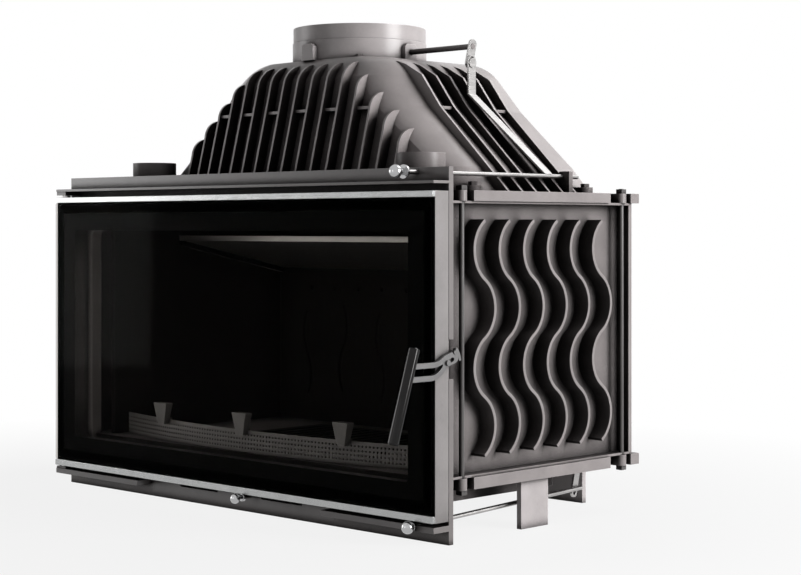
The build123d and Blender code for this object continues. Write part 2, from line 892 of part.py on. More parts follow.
# Bottom plate: a skin with a deep rim under it and the seat of the grate
with BuildPart() as bottom_plate:
    with BuildSketch(Plane.XY.offset(body_low)):
        body_outline()
        with Locations(*rod_places):
            Circle(rod_radius + seating, mode=Mode.SUBTRACT)
    extrude(amount=rim_height)
    with BuildSketch(Plane.XY.offset(body_low)):
        with Locations((0, pocket_mid)):
            RectangleRounded(2 * (edge - rim_width), pocket_back - pocket_front, rim_corner)
    extrude(amount=rim_height - skin_thick, mode=Mode.SUBTRACT)
    with BuildSketch(Plane.XY.offset(rim_top)):
        with Locations((0, grate_mid_y)):
            Rectangle(grate_width + 2 * seam, grate_depth + 2 * seam)
    extrude(amount=-skin_thick / 2, mode=Mode.SUBTRACT)
    with BuildSketch(Plane.XY.offset(rim_top)):
        with Locations((0, grate_mid_y)):
            Rectangle(grate_gap_width, grate_depth - 2 * grate_ledge)
    extrude(amount=-skin_thick, mode=Mode.SUBTRACT)
bottom_plate.part.label = "bottom_plate"
export_step(bottom_plate.part, "parts/bottom_plate.step")

# Top plate: the same outline, open under the hood and under the two air spigots
smoke_width = 2 * (hood_sections[0][1] - smoke_inset)
with BuildPart() as top_plate:
    with BuildSketch(Plane.XY.offset(lid_low)):
        body_outline()
        with Locations(*rod_places):
            Circle(rod_radius + seating, mode=Mode.SUBTRACT)
        with Locations((0, flue_y)):
            RectangleRounded(smoke_width, smoke_depth, smoke_corner, mode=Mode.SUBTRACT)
        with Locations((-air_spigot_x, air_spigot_y), (air_spigot_x, air_spigot_y)):
            Circle(air_spigot_radius - air_spigot_wall, mode=Mode.SUBTRACT)
        with Locations(*hood_bolt_places):
            Circle(hood_bolt_radius + seating, mode=Mode.SUBTRACT)
    extrude(amount=top_rim_height)
    with BuildSketch(Plane.XY.offset(lid_low)):
        with Locations((0, pocket_mid)):
            RectangleRounded(2 * (edge - rim_width), pocket_back - pocket_front, rim_corner)
    extrude(amount=top_rim_height - skin_thick, mode=Mode.SUBTRACT)
top_plate.part.label = "top_plate"
export_step(top_plate.part, "parts/top_plate.step")

# Side panels with wavy cooling fins, and lips under the top plate and on the bottom plate
wall_depth = back_wall_front - back_face
wall_mid = (back_face + back_wall_front) / 2
for side, panel_name in ((-1, "left_side_panel"), (1, "right_side_panel")):
    with BuildPart() as side_panel:
        with BuildSketch(side_plane(side * wall_face)):
            with Locations((wall_mid, (rim_top + lid_low) / 2)):
                Rectangle(wall_depth, side_height)
        extrude(amount=-side * wall_thick)
        with BuildSketch(side_plane(side * wall_face)):
            for index in range(fin_count):
                middle = fin_first + index * fin_pitch
                foot = rim_top + fin_foot
                with BuildLine():
                    start = (middle, foot)
                    for half_wave in range(fin_half_waves):
                        crest = middle + fin_swing * (-1) ** half_wave
                        turn = foot + (half_wave + 0.5) * fin_half_wave
                        end = (middle, foot + (half_wave + 1) * fin_half_wave)
                        ThreePointArc(start, (crest, turn), end)
                        start = end
                trace(line_width=fin_thick)
        extrude(amount=side * wall_inset)
        for lip_low in (rim_top, lid_low - lip_thick):
            with BuildSketch(Plane.XY.offset(lip_low)):
                with Locations((side * (wall_face + lip_reach / 2), wall_mid)):
                    Rectangle(lip_reach, wall_depth)
                with Locations(*rod_places):
                    Circle(rod_radius + running, mode=Mode.SUBTRACT)
            extrude(amount=lip_thick)
    side_panel.part.label = panel_name
    export_step(side_panel.part, f"parts/{panel_name}.step")

# Back plate with upright stiffening ribs
with BuildPart() as back_plate:
    with BuildSketch(front_plane(back_wall_front + back_wall_thick)):
        with Locations((0, (rim_top + lid_low) / 2)):
            Rectangle(2 * (wall_face + lip_reach), side_height)
    extrude(amount=back_wall_thick)
    with BuildSketch(front_plane(back_wall_front + back_wall_thick)):
        with Locations((0, (rim_top + lid_low) / 2)):
            with GridLocations(2 * wall_face / (back_rib_count + 1), 1, back_rib_count, 1):
                Rectangle(back_rib_thick, side_height - 2 * back_rib_margin)
    extrude(amount=-back_rib_depth)
back_plate.part.label = "back_plate"
export_step(back_plate.part, "parts/back_plate.step")

# Tie rods and their square nuts
rod_low = body_low - nut_height - rod_stub
rod_high = lid_top + nut_height + rod_stub
with BuildPart() as tie_rods:
    with BuildSketch(Plane.XY.offset(rod_low)):
        with Locations(*rod_places):
            Circle(rod_radius)
    extrude(amount=rod_high - rod_low)
tie_rods.part.label = "tie_rods"
export_step(tie_rods.part, "parts/tie_rods.step")

with BuildPart() as tie_rod_nuts:
    for nut_low in (body_low - nut_height, lid_top):
        with BuildSketch(Plane.XY.offset(nut_low)):
            with Locations(*rod_places):
                Rectangle(nut_size, nut_size)
                Circle(rod_radius + seating, mode=Mode.SUBTRACT)
        extrude(amount=nut_height)
tie_rod_nuts.part.label = "tie_rod_nuts"
export_step(tie_rod_nuts.part, "parts/tie_rod_nuts.step")


def hood_section(rise, half, front, bow_end, corner, back, inset):
    """One level outline of the hood's smooth skin, drawn inset from the outer face."""
    half_in = half - inset
    front_in = front + inset
    back_in = back - inset
    bow_in = bow_end - inset / 2
    sag = bow_in**2 / hood_bow
    bow_y = front_in + sag
    bend = (half_in - (half_in - bow_in) * hood_bend[0], bow_y + (corner - bow_y) * hood_bend[1])
    with BuildSketch(Plane.XY.offset(lid_top + rise)) as level:
        with BuildLine():
            ThreePointArc((-bow_in, bow_y), (0, front_in), (bow_in, bow_y))
            ThreePointArc((bow_in, bow_y), bend, (half_in, corner))
            Line((half_in, corner), (half_in, back_in))
            Line((half_in, back_in), (-half_in, back_in))
            Line((-half_in, back_in), (-half_in, corner))
            ThreePointArc((-half_in, corner), (-bend[0], bend[1]), (-bow_in, bow_y))
        make_face()
    return level.sketch


def hood_levels(inset):
    """Level outlines of the hood's skin, and under it those of its hollow."""
    levels = []
    for index, (rise, *shape) in enumerate(hood_sections):
        flat = max(0, index - 2) / 3
        levels.append(hood_section(rise - flat * inset, *shape, inset * (1 - flat)))
    return levels


rib_edge = ((0.0, 53.0), (35.2, 62.0), (119.2, 83.0), (164.2, 94.0), (186.2, 114.0))
side_rib_edge = ((0.0, 357.0), (120.2, 232.0), (166.2, 197.0), (182.2, 167.0), (187.7, 150.0))
rib_inner_y = 200.0


def edge_at(line, rise):
    """Value of an edge line, given as (rise, value) points, at one rise."""
    for (low, first), (high, second) in zip(line, line[1:]):
        if rise <= high:
            return first + (second - first) * (rise - low) / (high - low)
    return line[-1][1]


def rib_top_rise(x):
    """Rise at which a front rib runs out into the skin."""
    spread = max(0.0, abs(x) - rib_full_height_x)
    return hood_height - rib_top_drop - rib_top_fall * spread


rib_places = [(index - (rib_count - 1) / 2) * rib_pitch for index in range(rib_count)]
side_rib_places = [
    flue_y + (index - (side_rib_count - 1) / 2) * side_rib_pitch for index in range(side_rib_count)
]

collar_bolt_turns = [radians(angle) for angle in collar_bolt_angles]
collar_bolt_places = [
    (collar_bolt_circle * cos(turn), flue_y + collar_bolt_circle * sin(turn)) for turn in collar_bolt_turns
]

# Hood: one casting with upright ribs, short ties in alternate gaps and a domed top
with BuildPart() as hood:
    outer_levels = hood_levels(0)
    loft(outer_levels[:straight_levels], ruled=True)
    loft(outer_levels[straight_levels - 1 :])
    for x in rib_places:
        set_back = x**2 / hood_bow
        top = rib_top_rise(x)
        shoulder_rise = top - rib_rollover
        skin_y = edge_at([(row[0], row[2]) for row in hood_sections], top) + set_back
        with BuildSketch(side_plane(x - rib_thick / 2)):
            with BuildLine():
                rises = [0.0] + [rise for rise, value in rib_edge[1:] if rise < shoulder_rise]
                rises.append(shoulder_rise)
                points = [(edge_at(rib_edge, rise) + set_back, lid_top + rise) for rise in rises]
                Polyline(*points)
                ThreePointArc(
                    points[-1],
                    (points[-1][0] * (1 - rib_round) + skin_y * rib_round, lid_top + top - rib_top_drop),
                    (skin_y + rib_run_out, lid_top + top),
                )
                Polyline(
                    (skin_y + rib_run_out, lid_top + top),
                    (rib_inner_y, lid_top + top),
                    (rib_inner_y, lid_top),
                    points[0],
                )
            make_face()
        extrude(amount=rib_thick)
    for y in side_rib_places:
        for side in (-1, 1):
            with BuildSketch(front_plane(y + rib_thick / 2)):
                with BuildLine():
                    outer = [(side * value, lid_top + rise) for rise, value in side_rib_edge]
                    inner = side * side_rib_inner
                    rib_head = lid_top + hood_height - rib_top_drop
                    Polyline(*outer, (inner, rib_head), (inner, lid_top), outer[0])
                make_face()
            extrude(amount=rib_thick)
    for gap in tie_gaps:
        x = (rib_places[gap] + rib_places[gap + 1]) / 2
        tie_y = edge_at(rib_edge, tie_height) + x**2 / hood_bow + tie_set_in
        with BuildSketch(Plane.XY.offset(lid_top + tie_height - tie_thick / 2)):
            with Locations((x, (tie_y + rib_inner_y) / 2)):
                Rectangle(rib_pitch, rib_inner_y - tie_y)
        extrude(amount=tie_thick)
    for gap in side_tie_gaps:
        y = (side_rib_places[gap] + side_rib_places[gap + 1]) / 2
        tie_x = edge_at(side_rib_edge, tie_height) - tie_set_in
        with BuildSketch(Plane.XY.offset(lid_top + tie_height - tie_thick / 2)):
            for side in (-1, 1):
                with Locations((side * (tie_x + side_rib_inner) / 2, y)):
                    Rectangle(tie_x - side_rib_inner, side_rib_pitch)
        extrude(amount=tie_thick)
    with BuildSketch(Plane.XY.offset(lid_top)):
        for side in (-1, 1):
            for lug, root in zip((front_lug, rear_lug), lug_roots):
                slot_between(
                    (side * (lug[0] + root[0]), lug[1] + root[1]),
                    (side * lug[0], lug[1]),
                    2 * hood_lug_radius,
                )
    extrude(amount=hood_lug_height)
    loft(hood_levels(hood_wall), ruled=True, mode=Mode.SUBTRACT)
    with BuildSketch(Plane.XY.offset(lid_top + hood_height)):
        with Locations((0, flue_y)):
            Circle(bore_radius - mouth_inset)
    extrude(amount=-4 * hood_wall, mode=Mode.SUBTRACT)
    with BuildSketch(Plane.XY.offset(lid_top + hood_height)):
        with Locations(*collar_bolt_places):
            Circle(collar_bolt_radius + seating)
    extrude(amount=-2 * hood_wall, mode=Mode.SUBTRACT)
    with BuildSketch(Plane.XY.offset(lid_top)):
        with Locations(*hood_bolt_places):
            Circle(hood_bolt_radius + seating)
    extrude(amount=hood_lug_height, mode=Mode.SUBTRACT)
hood.part.label = "hood"
export_step(hood.part, "parts/hood.step")

# Bolts through the hood's lugs, each with its nut under the top plate
with BuildPart() as hood_bolts:
    with BuildSketch(Plane.XY.offset(lid_top - skin_thick - hood_bolt_head_height)):
        with Locations(*hood_bolt_places):
            RegularPolygon(hood_bolt_head, 6)
    extrude(amount=hood_bolt_head_height)
    with BuildSketch(Plane.XY.offset(lid_top - skin_thick)):
        with Locations(*hood_bolt_places):
            Circle(hood_bolt_radius)
    extrude(amount=skin_thick + hood_lug_height)
    with BuildSketch(Plane.XY.offset(lid_top + hood_lug_height)):
        with Locations(*hood_bolt_places):
            RegularPolygon(hood_bolt_head, 6)
    extrude(amount=hood_bolt_head_height)
hood_bolts.part.label = "hood_bolts"
export_step(hood_bolts.part, "parts/hood_bolts.step")


def pad_outline():
    """Raised pad that stands on the sketch's location, its upper corners cut off."""
    half = pad_width / 2
    Polygon(
        (-half, 0),
        (half, 0),
        (half, pad_height - pad_corner),
        (half - pad_corner, pad_height),
        (pad_corner - half, pad_height),
        (-half, pad_height - pad_corner),
        align=None,
    )


# Flue collar: turned spigot, four pads of which two bear the damper shaft, bolt lugs at the foot
with BuildPart() as flue_collar:
    with BuildSketch(Plane.XY.offset(collar_low)):
        with Locations((0, flue_y)):
            Circle(collar_radius)
    extrude(amount=collar_height - spigot_turned)
    with BuildSketch(Plane.XY.offset(collar_low + collar_height - spigot_turned)):
        with Locations((0, flue_y)):
            Circle(spigot_radius)
    extrude(amount=spigot_turned)
    with BuildSketch(side_plane(-shaft_bearing)):
        with Locations((flue_y, collar_low)):
            pad_outline()
    extrude(amount=2 * shaft_bearing)
    with BuildSketch(front_plane(flue_y + shaft_bearing)):
        with Locations((0, collar_low)):
            pad_outline()
    extrude(amount=2 * shaft_bearing)
    with BuildSketch(Plane.XY.offset(collar_low)):
        for x, y in collar_bolt_places:
            inward = collar_radius / collar_bolt_circle
            slot_between((x * inward, flue_y + (y - flue_y) * inward), (x, y), 2 * collar_lug_radius)
    extrude(amount=collar_lug_height)
    with BuildSketch(Plane.XY.offset(collar_low)):
        with Locations((0, flue_y)):
            Circle(bore_radius)
        with Locations(*collar_bolt_places):
            Circle(collar_bolt_radius + seating)
    extrude(amount=collar_height, mode=Mode.SUBTRACT)
    with BuildSketch(side_plane(-shaft_bearing)):
        with Locations((flue_y, damper_z)):
            Circle(shaft_radius + running)
    extrude(amount=2 * shaft_bearing, mode=Mode.SUBTRACT)
flue_collar.part.label = "flue_collar"
export_step(flue_collar.part, "parts/flue_collar.step")

with BuildPart() as collar_bolts:
    with BuildSketch(Plane.XY.offset(collar_low - hood_wall)):
        with Locations(*collar_bolt_places):
            Circle(collar_bolt_radius)
    extrude(amount=hood_wall + collar_lug_height)
    with BuildSketch(Plane.XY.offset(collar_low + collar_lug_height)):
        with Locations(*collar_bolt_places):
            RegularPolygon(collar_bolt_head, 6)
    extrude(amount=collar_bolt_head_height)
collar_bolts.part.label = "collar_bolts"
export_step(collar_bolts.part, "parts/collar_bolts.step")

# Damper: shaft, disc on two saddles, crank and its pin
with BuildPart() as damper_shaft:
    with BuildSketch(side_plane(-shaft_bearing - shaft_stub)):
        with Locations((flue_y, damper_z)):
            Circle(shaft_radius)
    extrude(amount=shaft_bearing + shaft_stub + shaft_reach)
damper_shaft.part.label = "damper_shaft"
export_step(damper_shaft.part, "parts/damper_shaft.step")

tilt = radians(damper_tilt)
disc_normal = Vector(0, -sin(tilt), cos(tilt))
disc_plane = Plane(
    origin=Vector(0, flue_y, damper_z) + disc_normal * shaft_radius,
    x_dir=(1, 0, 0),
    z_dir=disc_normal,
)
with BuildPart() as damper_disc:
    with BuildSketch(disc_plane):
        Circle(damper_radius)
    extrude(amount=damper_thick)
    with BuildSketch(disc_plane):
        with GridLocations(damper_radius, 1, 2, 1):
            Rectangle(saddle_width, 4 * shaft_radius)
    extrude(amount=-1.7 * shaft_radius)
    with BuildSketch(side_plane(-damper_radius)):
        with Locations((flue_y, damper_z)):
            Circle(shaft_radius + seating / 2)
    extrude(amount=2 * damper_radius, mode=Mode.SUBTRACT)
damper_disc.part.label = "damper_disc"
export_step(damper_disc.part, "parts/damper_disc.step")

crank_x = shaft_reach - crank_thick - 0.5
lean = radians(crank_lean)
pin_place = (flue_y - crank_length * sin(lean), damper_z - crank_length * cos(lean))
crank_tail = (flue_y + crank_head * sin(lean) / 3, damper_z + crank_head * cos(lean) / 3)
with BuildPart() as damper_crank:
    with BuildSketch(side_plane(crank_x)):
        slot_between(crank_tail, pin_place, crank_width)
        with Locations((flue_y, damper_z)):
            Circle(shaft_radius + seating / 2, mode=Mode.SUBTRACT)
        with Locations(pin_place):
            Circle(crank_pin_radius + seating / 2, mode=Mode.SUBTRACT)
    extrude(amount=crank_thick)
damper_crank.part.label = "damper_crank"
export_step(damper_crank.part, "parts/damper_crank.step")

link_x = crank_x + crank_thick + link_gap
with BuildPart() as crank_pin:
    with BuildSketch(side_plane(crank_x - 1.5)):
        with Locations(pin_place):
            Circle(crank_pin_radius)
    extrude(amount=crank_thick + link_gap + link_thick + 1.5 + running)
    with BuildSketch(side_plane(link_x + link_thick + running)):
        with Locations(pin_place):
            Circle(link_width / 2 - 0.5)
    extrude(amount=1.5)
crank_pin.part.label = "crank_pin"
export_step(crank_pin.part, "parts/crank_pin.step")

# Damper rod with its link: the slotted eye lets the crank pin rise and fall
link_y = pin_place[0] + running
slot_low = damper_z - crank_length - link_slot_start
link_bend_z = slot_low - link_slot_travel - link_drop
link_foot_z = damper_rod_z + damper_rod_radius
with BuildPart() as damper_link:
    with BuildSketch(side_plane(link_x)):
        eye_top = slot_low + link_slot_travel - link_eye_wall / 2
        slot_between((link_y, link_bend_z + link_width / 2), (link_y, eye_top), link_width)
        with Locations((link_y, link_bend_z + link_width / 2)):
            Rectangle(link_width, link_width)
        slot_between(
            (link_y, slot_low),
            (link_y, slot_low + link_slot_travel - 1.6),
            2 * (crank_pin_radius + link_slot_clear),
            Mode.SUBTRACT,
        )
    extrude(amount=link_thick)
    slant = atan2(damper_rod_x - link_x, link_bend_z - link_foot_z)
    bar_width = link_thick / cos(slant)
    with BuildSketch(Plane.XY.offset(link_foot_z)):
        with Locations((damper_rod_x, link_foot_y)):
            Rectangle(bar_width, link_width)
    with BuildSketch(Plane.XY.offset(link_bend_z)):
        with Locations((link_x + link_thick / 2, link_y)):
            Rectangle(bar_width, link_width)
    loft()
damper_link.part.label = "damper_link"
export_step(damper_link.part, "parts/damper_link.step")

with BuildPart() as damper_rod:
    with BuildSketch(front_plane(damper_rod_end)):
        with Locations((damper_rod_x, damper_rod_z)):
            Circle(damper_rod_radius)
    extrude(amount=damper_rod_end + knob_reach - knob_bore_depth)
damper_rod.part.label = "damper_rod"
export_step(damper_rod.part, "parts/damper_rod.step")

damper_knob_plane = Plane(
    origin=(damper_rod_x, -knob_reach, damper_rod_z), x_dir=(1, 0, 0), z_dir=(0, 1, 0)
)
damper_knob = knob(
    damper_knob_plane, knob_radius, knob_collar_radius, knob_collar_back, damper_rod_radius
)
damper_knob.part.label = "damper_knob"
export_step(damper_knob.part, "parts/damper_knob.step")

with BuildPart() as damper_rod_bracket:
    with BuildSketch(front_plane(damper_bracket_y + damper_bracket_thick)):
        bracket_top = damper_rod_z + 2.4 * damper_rod_radius
        with Locations((damper_rod_x + damper_bracket_shift, (lid_top + bracket_top) / 2)):
            Rectangle(damper_bracket_width, bracket_top - lid_top)
        with Locations((damper_rod_x, damper_rod_z)):
            Circle(damper_rod_radius + running, mode=Mode.SUBTRACT)
    extrude(amount=damper_bracket_thick)
damper_rod_bracket.part.label = "damper_rod_bracket"
export_step(damper_rod_bracket.part, "parts/damper_rod_bracket.step")

# Air spigots
for side, spigot_name in ((-1, "left_air_spigot"), (1, "right_air_spigot")):
    with BuildPart() as air_spigot:
        with BuildSketch(Plane.XY.offset(lid_top)):
            with Locations((side * air_spigot_x, air_spigot_y)):
                Circle(air_spigot_radius)
                Circle(air_spigot_radius - air_spigot_wall, mode=Mode.SUBTRACT)
        extrude(amount=air_spigot_height)
    air_spigot.part.label = spigot_name
    export_step(air_spigot.part, f"parts/{spigot_name}.step")

# Lower rod with the pin that works the lever, and its knob
lever_pin_y = flap_axis_y - lever_pin_ahead
lever_pin_z = low_rod_z + (lever_pin_y - low_rod_y) * rod_rise
lever_x = low_rod_x - low_rod_radius - lever_gap - lever_thick
low_rod_length = (lever_pin_y + low_rod_tail - low_rod_y) / cos(radians(low_rod_slope))
with BuildPart() as lower_rod:
    with BuildSketch(low_rod_line.offset(knob_bore_depth)):
        Circle(low_rod_radius)
    extrude(amount=low_rod_length - knob_bore_depth)
    with BuildSketch(side_plane(low_rod_x)):
        with Locations((lever_pin_y, lever_pin_z)):
            Circle(lever_pin_radius)
    extrude(amount=lever_x - 1.5 - low_rod_x)
lower_rod.part.label = "lower_rod"
export_step(lower_rod.part, "parts/lower_rod.step")

low_collar_back = knob_reach + front_face - shelf_depth - knob_collar_thick / 2 - running
lower_knob = knob(
    low_rod_line, low_knob_radius, low_collar_radius, low_collar_back, low_rod_radius
)
lower_knob.part.label = "lower_knob"
export_step(lower_knob.part, "parts/lower_knob.step")

# Lever, shaft and flap of the lower air inlet
lever_rise = flap_axis_z - lever_pin_z
lever_turn = atan2(flap_axis_y - lever_pin_y, lever_rise)
lever_pin_reach = hypot(flap_axis_y - lever_pin_y, lever_rise)


def on_lever(reach):
    """Point on the lever's centre line at a distance from the flap's axis."""
    return (flap_axis_y - reach * sin(lever_turn), flap_axis_z - reach * cos(lever_turn))


slot_far = lever_pin_reach + lever_slot_travel + 1.5
with BuildPart() as flap_lever:
    with BuildSketch(side_plane(lever_x)):
        slot_between((flap_axis_y, flap_axis_z), on_lever(slot_far + 0.5), lever_width)
        with Locations((flap_axis_y, flap_axis_z)):
            Circle(flap_shaft_radius + seating / 2, mode=Mode.SUBTRACT)
        slot_between(
            on_lever(lever_pin_reach - 1),
            on_lever(slot_far),
            2 * (lever_pin_radius + lever_slot_clear),
            Mode.SUBTRACT,
        )
    extrude(amount=lever_thick)
flap_lever.part.label = "flap_lever"
export_step(flap_lever.part, "parts/flap_lever.step")

with BuildPart() as flap_shaft:
    with BuildSketch(side_plane(flap_inner - flap_shaft_end)):
        with Locations((flap_axis_y, flap_axis_z)):
            Circle(flap_shaft_radius)
    extrude(amount=lever_x + lever_thick - flap_inner + flap_shaft_end)
flap_shaft.part.label = "flap_shaft"
export_step(flap_shaft.part, "parts/flap_shaft.step")

with BuildPart() as air_flap:
    open_angle = radians(flap_open)
    near = flap_shaft_radius
    far = flap_shaft_radius + flap_height
    with BuildSketch(side_plane(flap_inner)):
        with BuildLine():
            Line(
                (flap_axis_y + near * sin(open_angle), flap_axis_z - near * cos(open_angle)),
                (flap_axis_y + far * sin(open_angle), flap_axis_z - far * cos(open_angle)),
            )
        trace(line_width=flap_thick)
    extrude(amount=flap_outer - flap_inner)
air_flap.part.label = "air_flap"
export_step(air_flap.part, "parts/air_flap.step")

# Ash box under the bottom plate, with the flap's window and bearings behind
box_top = rim_top - skin_thick
box_mid_y = (box_front + box_back) / 2
with BuildPart() as ash_box:
    with BuildSketch(Plane.XY.offset(box_low)):
        with Locations((0, box_mid_y)):
            Rectangle(2 * box_side, box_back - box_front)
    extrude(amount=box_top - box_low)
    with BuildSketch(Plane.XY.offset(box_low + box_wall)):
        with Locations((0, box_mid_y)):
            Rectangle(2 * (box_side - box_wall), box_back - box_front - 2 * box_wall)
    extrude(amount=box_top - box_low, mode=Mode.SUBTRACT)
    with BuildSketch(front_plane(box_back)):
        with Locations(((flap_inner + flap_outer) / 2, box_low + box_wall + window_height / 2)):
            Rectangle(flap_outer - flap_inner - 2 * window_inset, window_height)
    extrude(amount=box_wall, mode=Mode.SUBTRACT)
    with BuildSketch(front_plane(box_front + box_wall)):
        for side in (-1, 1):
            with Locations((side * air_slot_mid, box_low + box_wall + window_height / 2)):
                Rectangle(air_slot_width, window_height)
    extrude(amount=box_wall, mode=Mode.SUBTRACT)
    bearing_end = flap_axis_y + bearing_back
    for x in (flap_inner - bearing_clear - bearing_thick, flap_outer + bearing_clear):
        with BuildSketch(side_plane(x)):
            with Locations(((box_back + bearing_end) / 2, box_top - seam - bearing_height / 2)):
                Rectangle(bearing_end - box_back, bearing_height)
            with Locations((flap_axis_y, flap_axis_z)):
                Circle(flap_shaft_radius + running, mode=Mode.SUBTRACT)
        extrude(amount=bearing_thick)
ash_box.part.label = "ash_box"
export_step(ash_box.part, "parts/ash_box.step")

# Ash pan, small enough to lift out through the grate's seat
pan_width = grate_gap_width - 2 * pan_clear
pan_depth = grate_depth - 2 * (grate_ledge + pan_clear)
with BuildPart() as ash_pan:
    with BuildSketch(Plane.XY.offset(box_low + box_wall)):
        with Locations((0, grate_mid_y)):
            RectangleRounded(pan_width, pan_depth, pan_corner)
    extrude(amount=box_top - box_low - box_wall - pan_top_gap)
    with BuildSketch(Plane.XY.offset(box_low + box_wall + pan_wall)):
        with Locations((0, grate_mid_y)):
            RectangleRounded(pan_width - 2 * pan_wall, pan_depth - 2 * pan_wall, pan_corner - pan_wall)
    extrude(amount=box_top - box_low, mode=Mode.SUBTRACT)
ash_pan.part.label = "ash_pan"
export_step(ash_pan.part, "parts/ash_pan.step")

# Grate: a frame with bars, loose in its seat
with BuildPart() as grate:
    with BuildSketch(Plane.XY.offset(rim_top - skin_thick / 2 + running)):
        with Locations((0, grate_mid_y)):
            Rectangle(grate_width, grate_depth)
            gap_pitch = (grate_width - 2 * grate_frame) / (grate_bars + 1)
            with GridLocations(gap_pitch, 1, grate_bars + 1, 1):
                Rectangle(grate_slot, grate_depth - 2 * grate_frame, mode=Mode.SUBTRACT)
    extrude(amount=grate_thick)
grate.part.label = "grate"
export_step(grate.part, "parts/grate.step")

# Legs: angle plates under the bottom plate's rim
side_leg_face = edge - side_leg_inset
for side, leg_name in ((-1, "left_side_leg"), (1, "right_side_leg")):
    with BuildPart() as side_leg:
        with BuildSketch(side_plane(side * side_leg_face)):
            with Locations((side_leg_front + side_leg_width / 2, body_low / 2)):
                Rectangle(side_leg_width, body_low)
        extrude(amount=-side * side_leg_thick)
        with BuildSketch(Plane.XY.offset(body_low - leg_flange)):
            flange_x = side_leg_face - side_leg_thick - side_leg_flange / 2
            with Locations((side * flange_x, side_leg_front + side_leg_width / 2)):
                Rectangle(side_leg_flange, side_leg_width)
        extrude(amount=leg_flange)
    side_leg.part.label = leg_name
    export_step(side_leg.part, f"parts/{leg_name}.step")

rear_leg_y = body_back - rear_leg_thick
for side, leg_name in ((-1, "left_rear_leg"), (1, "right_rear_leg")):
    leg_mid = side * (edge - rear_leg_inset)
    with BuildPart() as rear_leg:
        with BuildSketch(front_plane(rear_leg_y + rear_leg_thick)):
            with Locations((leg_mid, body_low / 2)):
                Rectangle(rear_leg_width, body_low)
        extrude(amount=rear_leg_thick)
        with BuildSketch(Plane.XY.offset(body_low - leg_flange)):
            with Locations((leg_mid, rear_leg_y - rear_leg_flange / 2)):
                Rectangle(rear_leg_width, rear_leg_flange)
        extrude(amount=leg_flange)
    rear_leg.part.label = leg_name
    export_step(rear_leg.part, f"parts/{leg_name}.step")

# Fireback with air holes and wavy grooves
with BuildPart() as fireback:
    with BuildSketch(front_plane(fireback_face + liner_thick)):
        with Locations((0, rim_top + liner_height / 2)):
            Rectangle(2 * liner_face - 2 * running, liner_height)
        with Locations((0, air_hole_z)):
            with GridLocations(air_hole_pitch, 1, air_hole_count, 1):
                Circle(air_hole_radius, mode=Mode.SUBTRACT)
    extrude(amount=liner_thick)
    with BuildSketch(front_plane(fireback_face)):
        for index in range(groove_count):
            x = (index - (groove_count - 1) / 2) * groove_pitch
            low = rim_top + groove_foot + groove_step * (index % 2)
            with BuildLine():
                for half_wave in (0, 1):
                    foot = low + half_wave * groove_half_wave
                    crest = x + groove_swing * (-1) ** (half_wave + index)
                    head = foot + groove_half_wave
                    ThreePointArc((x, foot), (crest, (foot + head) / 2), (x, head))
            trace(line_width=groove_width)
    extrude(amount=-groove_depth, mode=Mode.SUBTRACT)
fireback.part.label = "fireback"
export_step(fireback.part, "parts/fireback.step")

# Baffle over the fire, and the side linings whose ledges carry it
baffle_rise = tan(radians(baffle_slope))
baffle_back_y = fireback_face - seam
baffle_front_y = baffle_back_y - baffle_depth
baffle_front_z = baffle_back_z + baffle_depth * baffle_rise
with BuildPart() as baffle_plate:
    with BuildSketch(side_plane(-liner_face + running)):
        Polygon(
            (baffle_back_y, baffle_back_z),
            (baffle_back_y, baffle_back_z + baffle_thick),
            (baffle_front_y, baffle_front_z + baffle_thick),
            (baffle_front_y, baffle_front_z),
            align=None,
        )
    extrude(amount=2 * (liner_face - running))
baffle_plate.part.label = "baffle_plate"
export_step(baffle_plate.part, "parts/baffle_plate.step")

for side, liner_name in ((-1, "left_liner"), (1, "right_liner")):
    with BuildPart() as liner:
        with BuildSketch(side_plane(side * (liner_face + liner_thick))):
            with Locations(((liner_front + fireback_face) / 2, rim_top + liner_height / 2)):
                Rectangle(fireback_face - liner_front, liner_height)
        extrude(amount=-side * liner_thick)
        with BuildSketch(side_plane(side * liner_face)):
            Polygon(
                (baffle_back_y, baffle_back_z),
                (baffle_front_y, baffle_front_z),
                (baffle_front_y, baffle_front_z - ledge_thick),
                (baffle_back_y, baffle_back_z - ledge_thick),
                align=None,
            )
        extrude(amount=-side * ledge_reach)
    liner.part.label = liner_name
    export_step(liner.part, f"parts/{liner_name}.step")

# Log guard: a bowed sheet with three hollow posts hooked over its upper edge
guard_low = rim_top + running
guard_high = guard_low + guard_height
guard_reach = liner_face - guard_clear
with BuildPart() as log_guard:
    with BuildSketch(Plane.XY.offset(guard_low)):
        with BuildLine():
            ThreePointArc((-guard_reach, guard_end_y), (0, guard_mid_y), (guard_reach, guard_end_y))
        trace(line_width=guard_thick)
    extrude(amount=guard_height)
log_guard.part.label = "log_guard"
export_step(log_guard.part, "parts/log_guard.step")

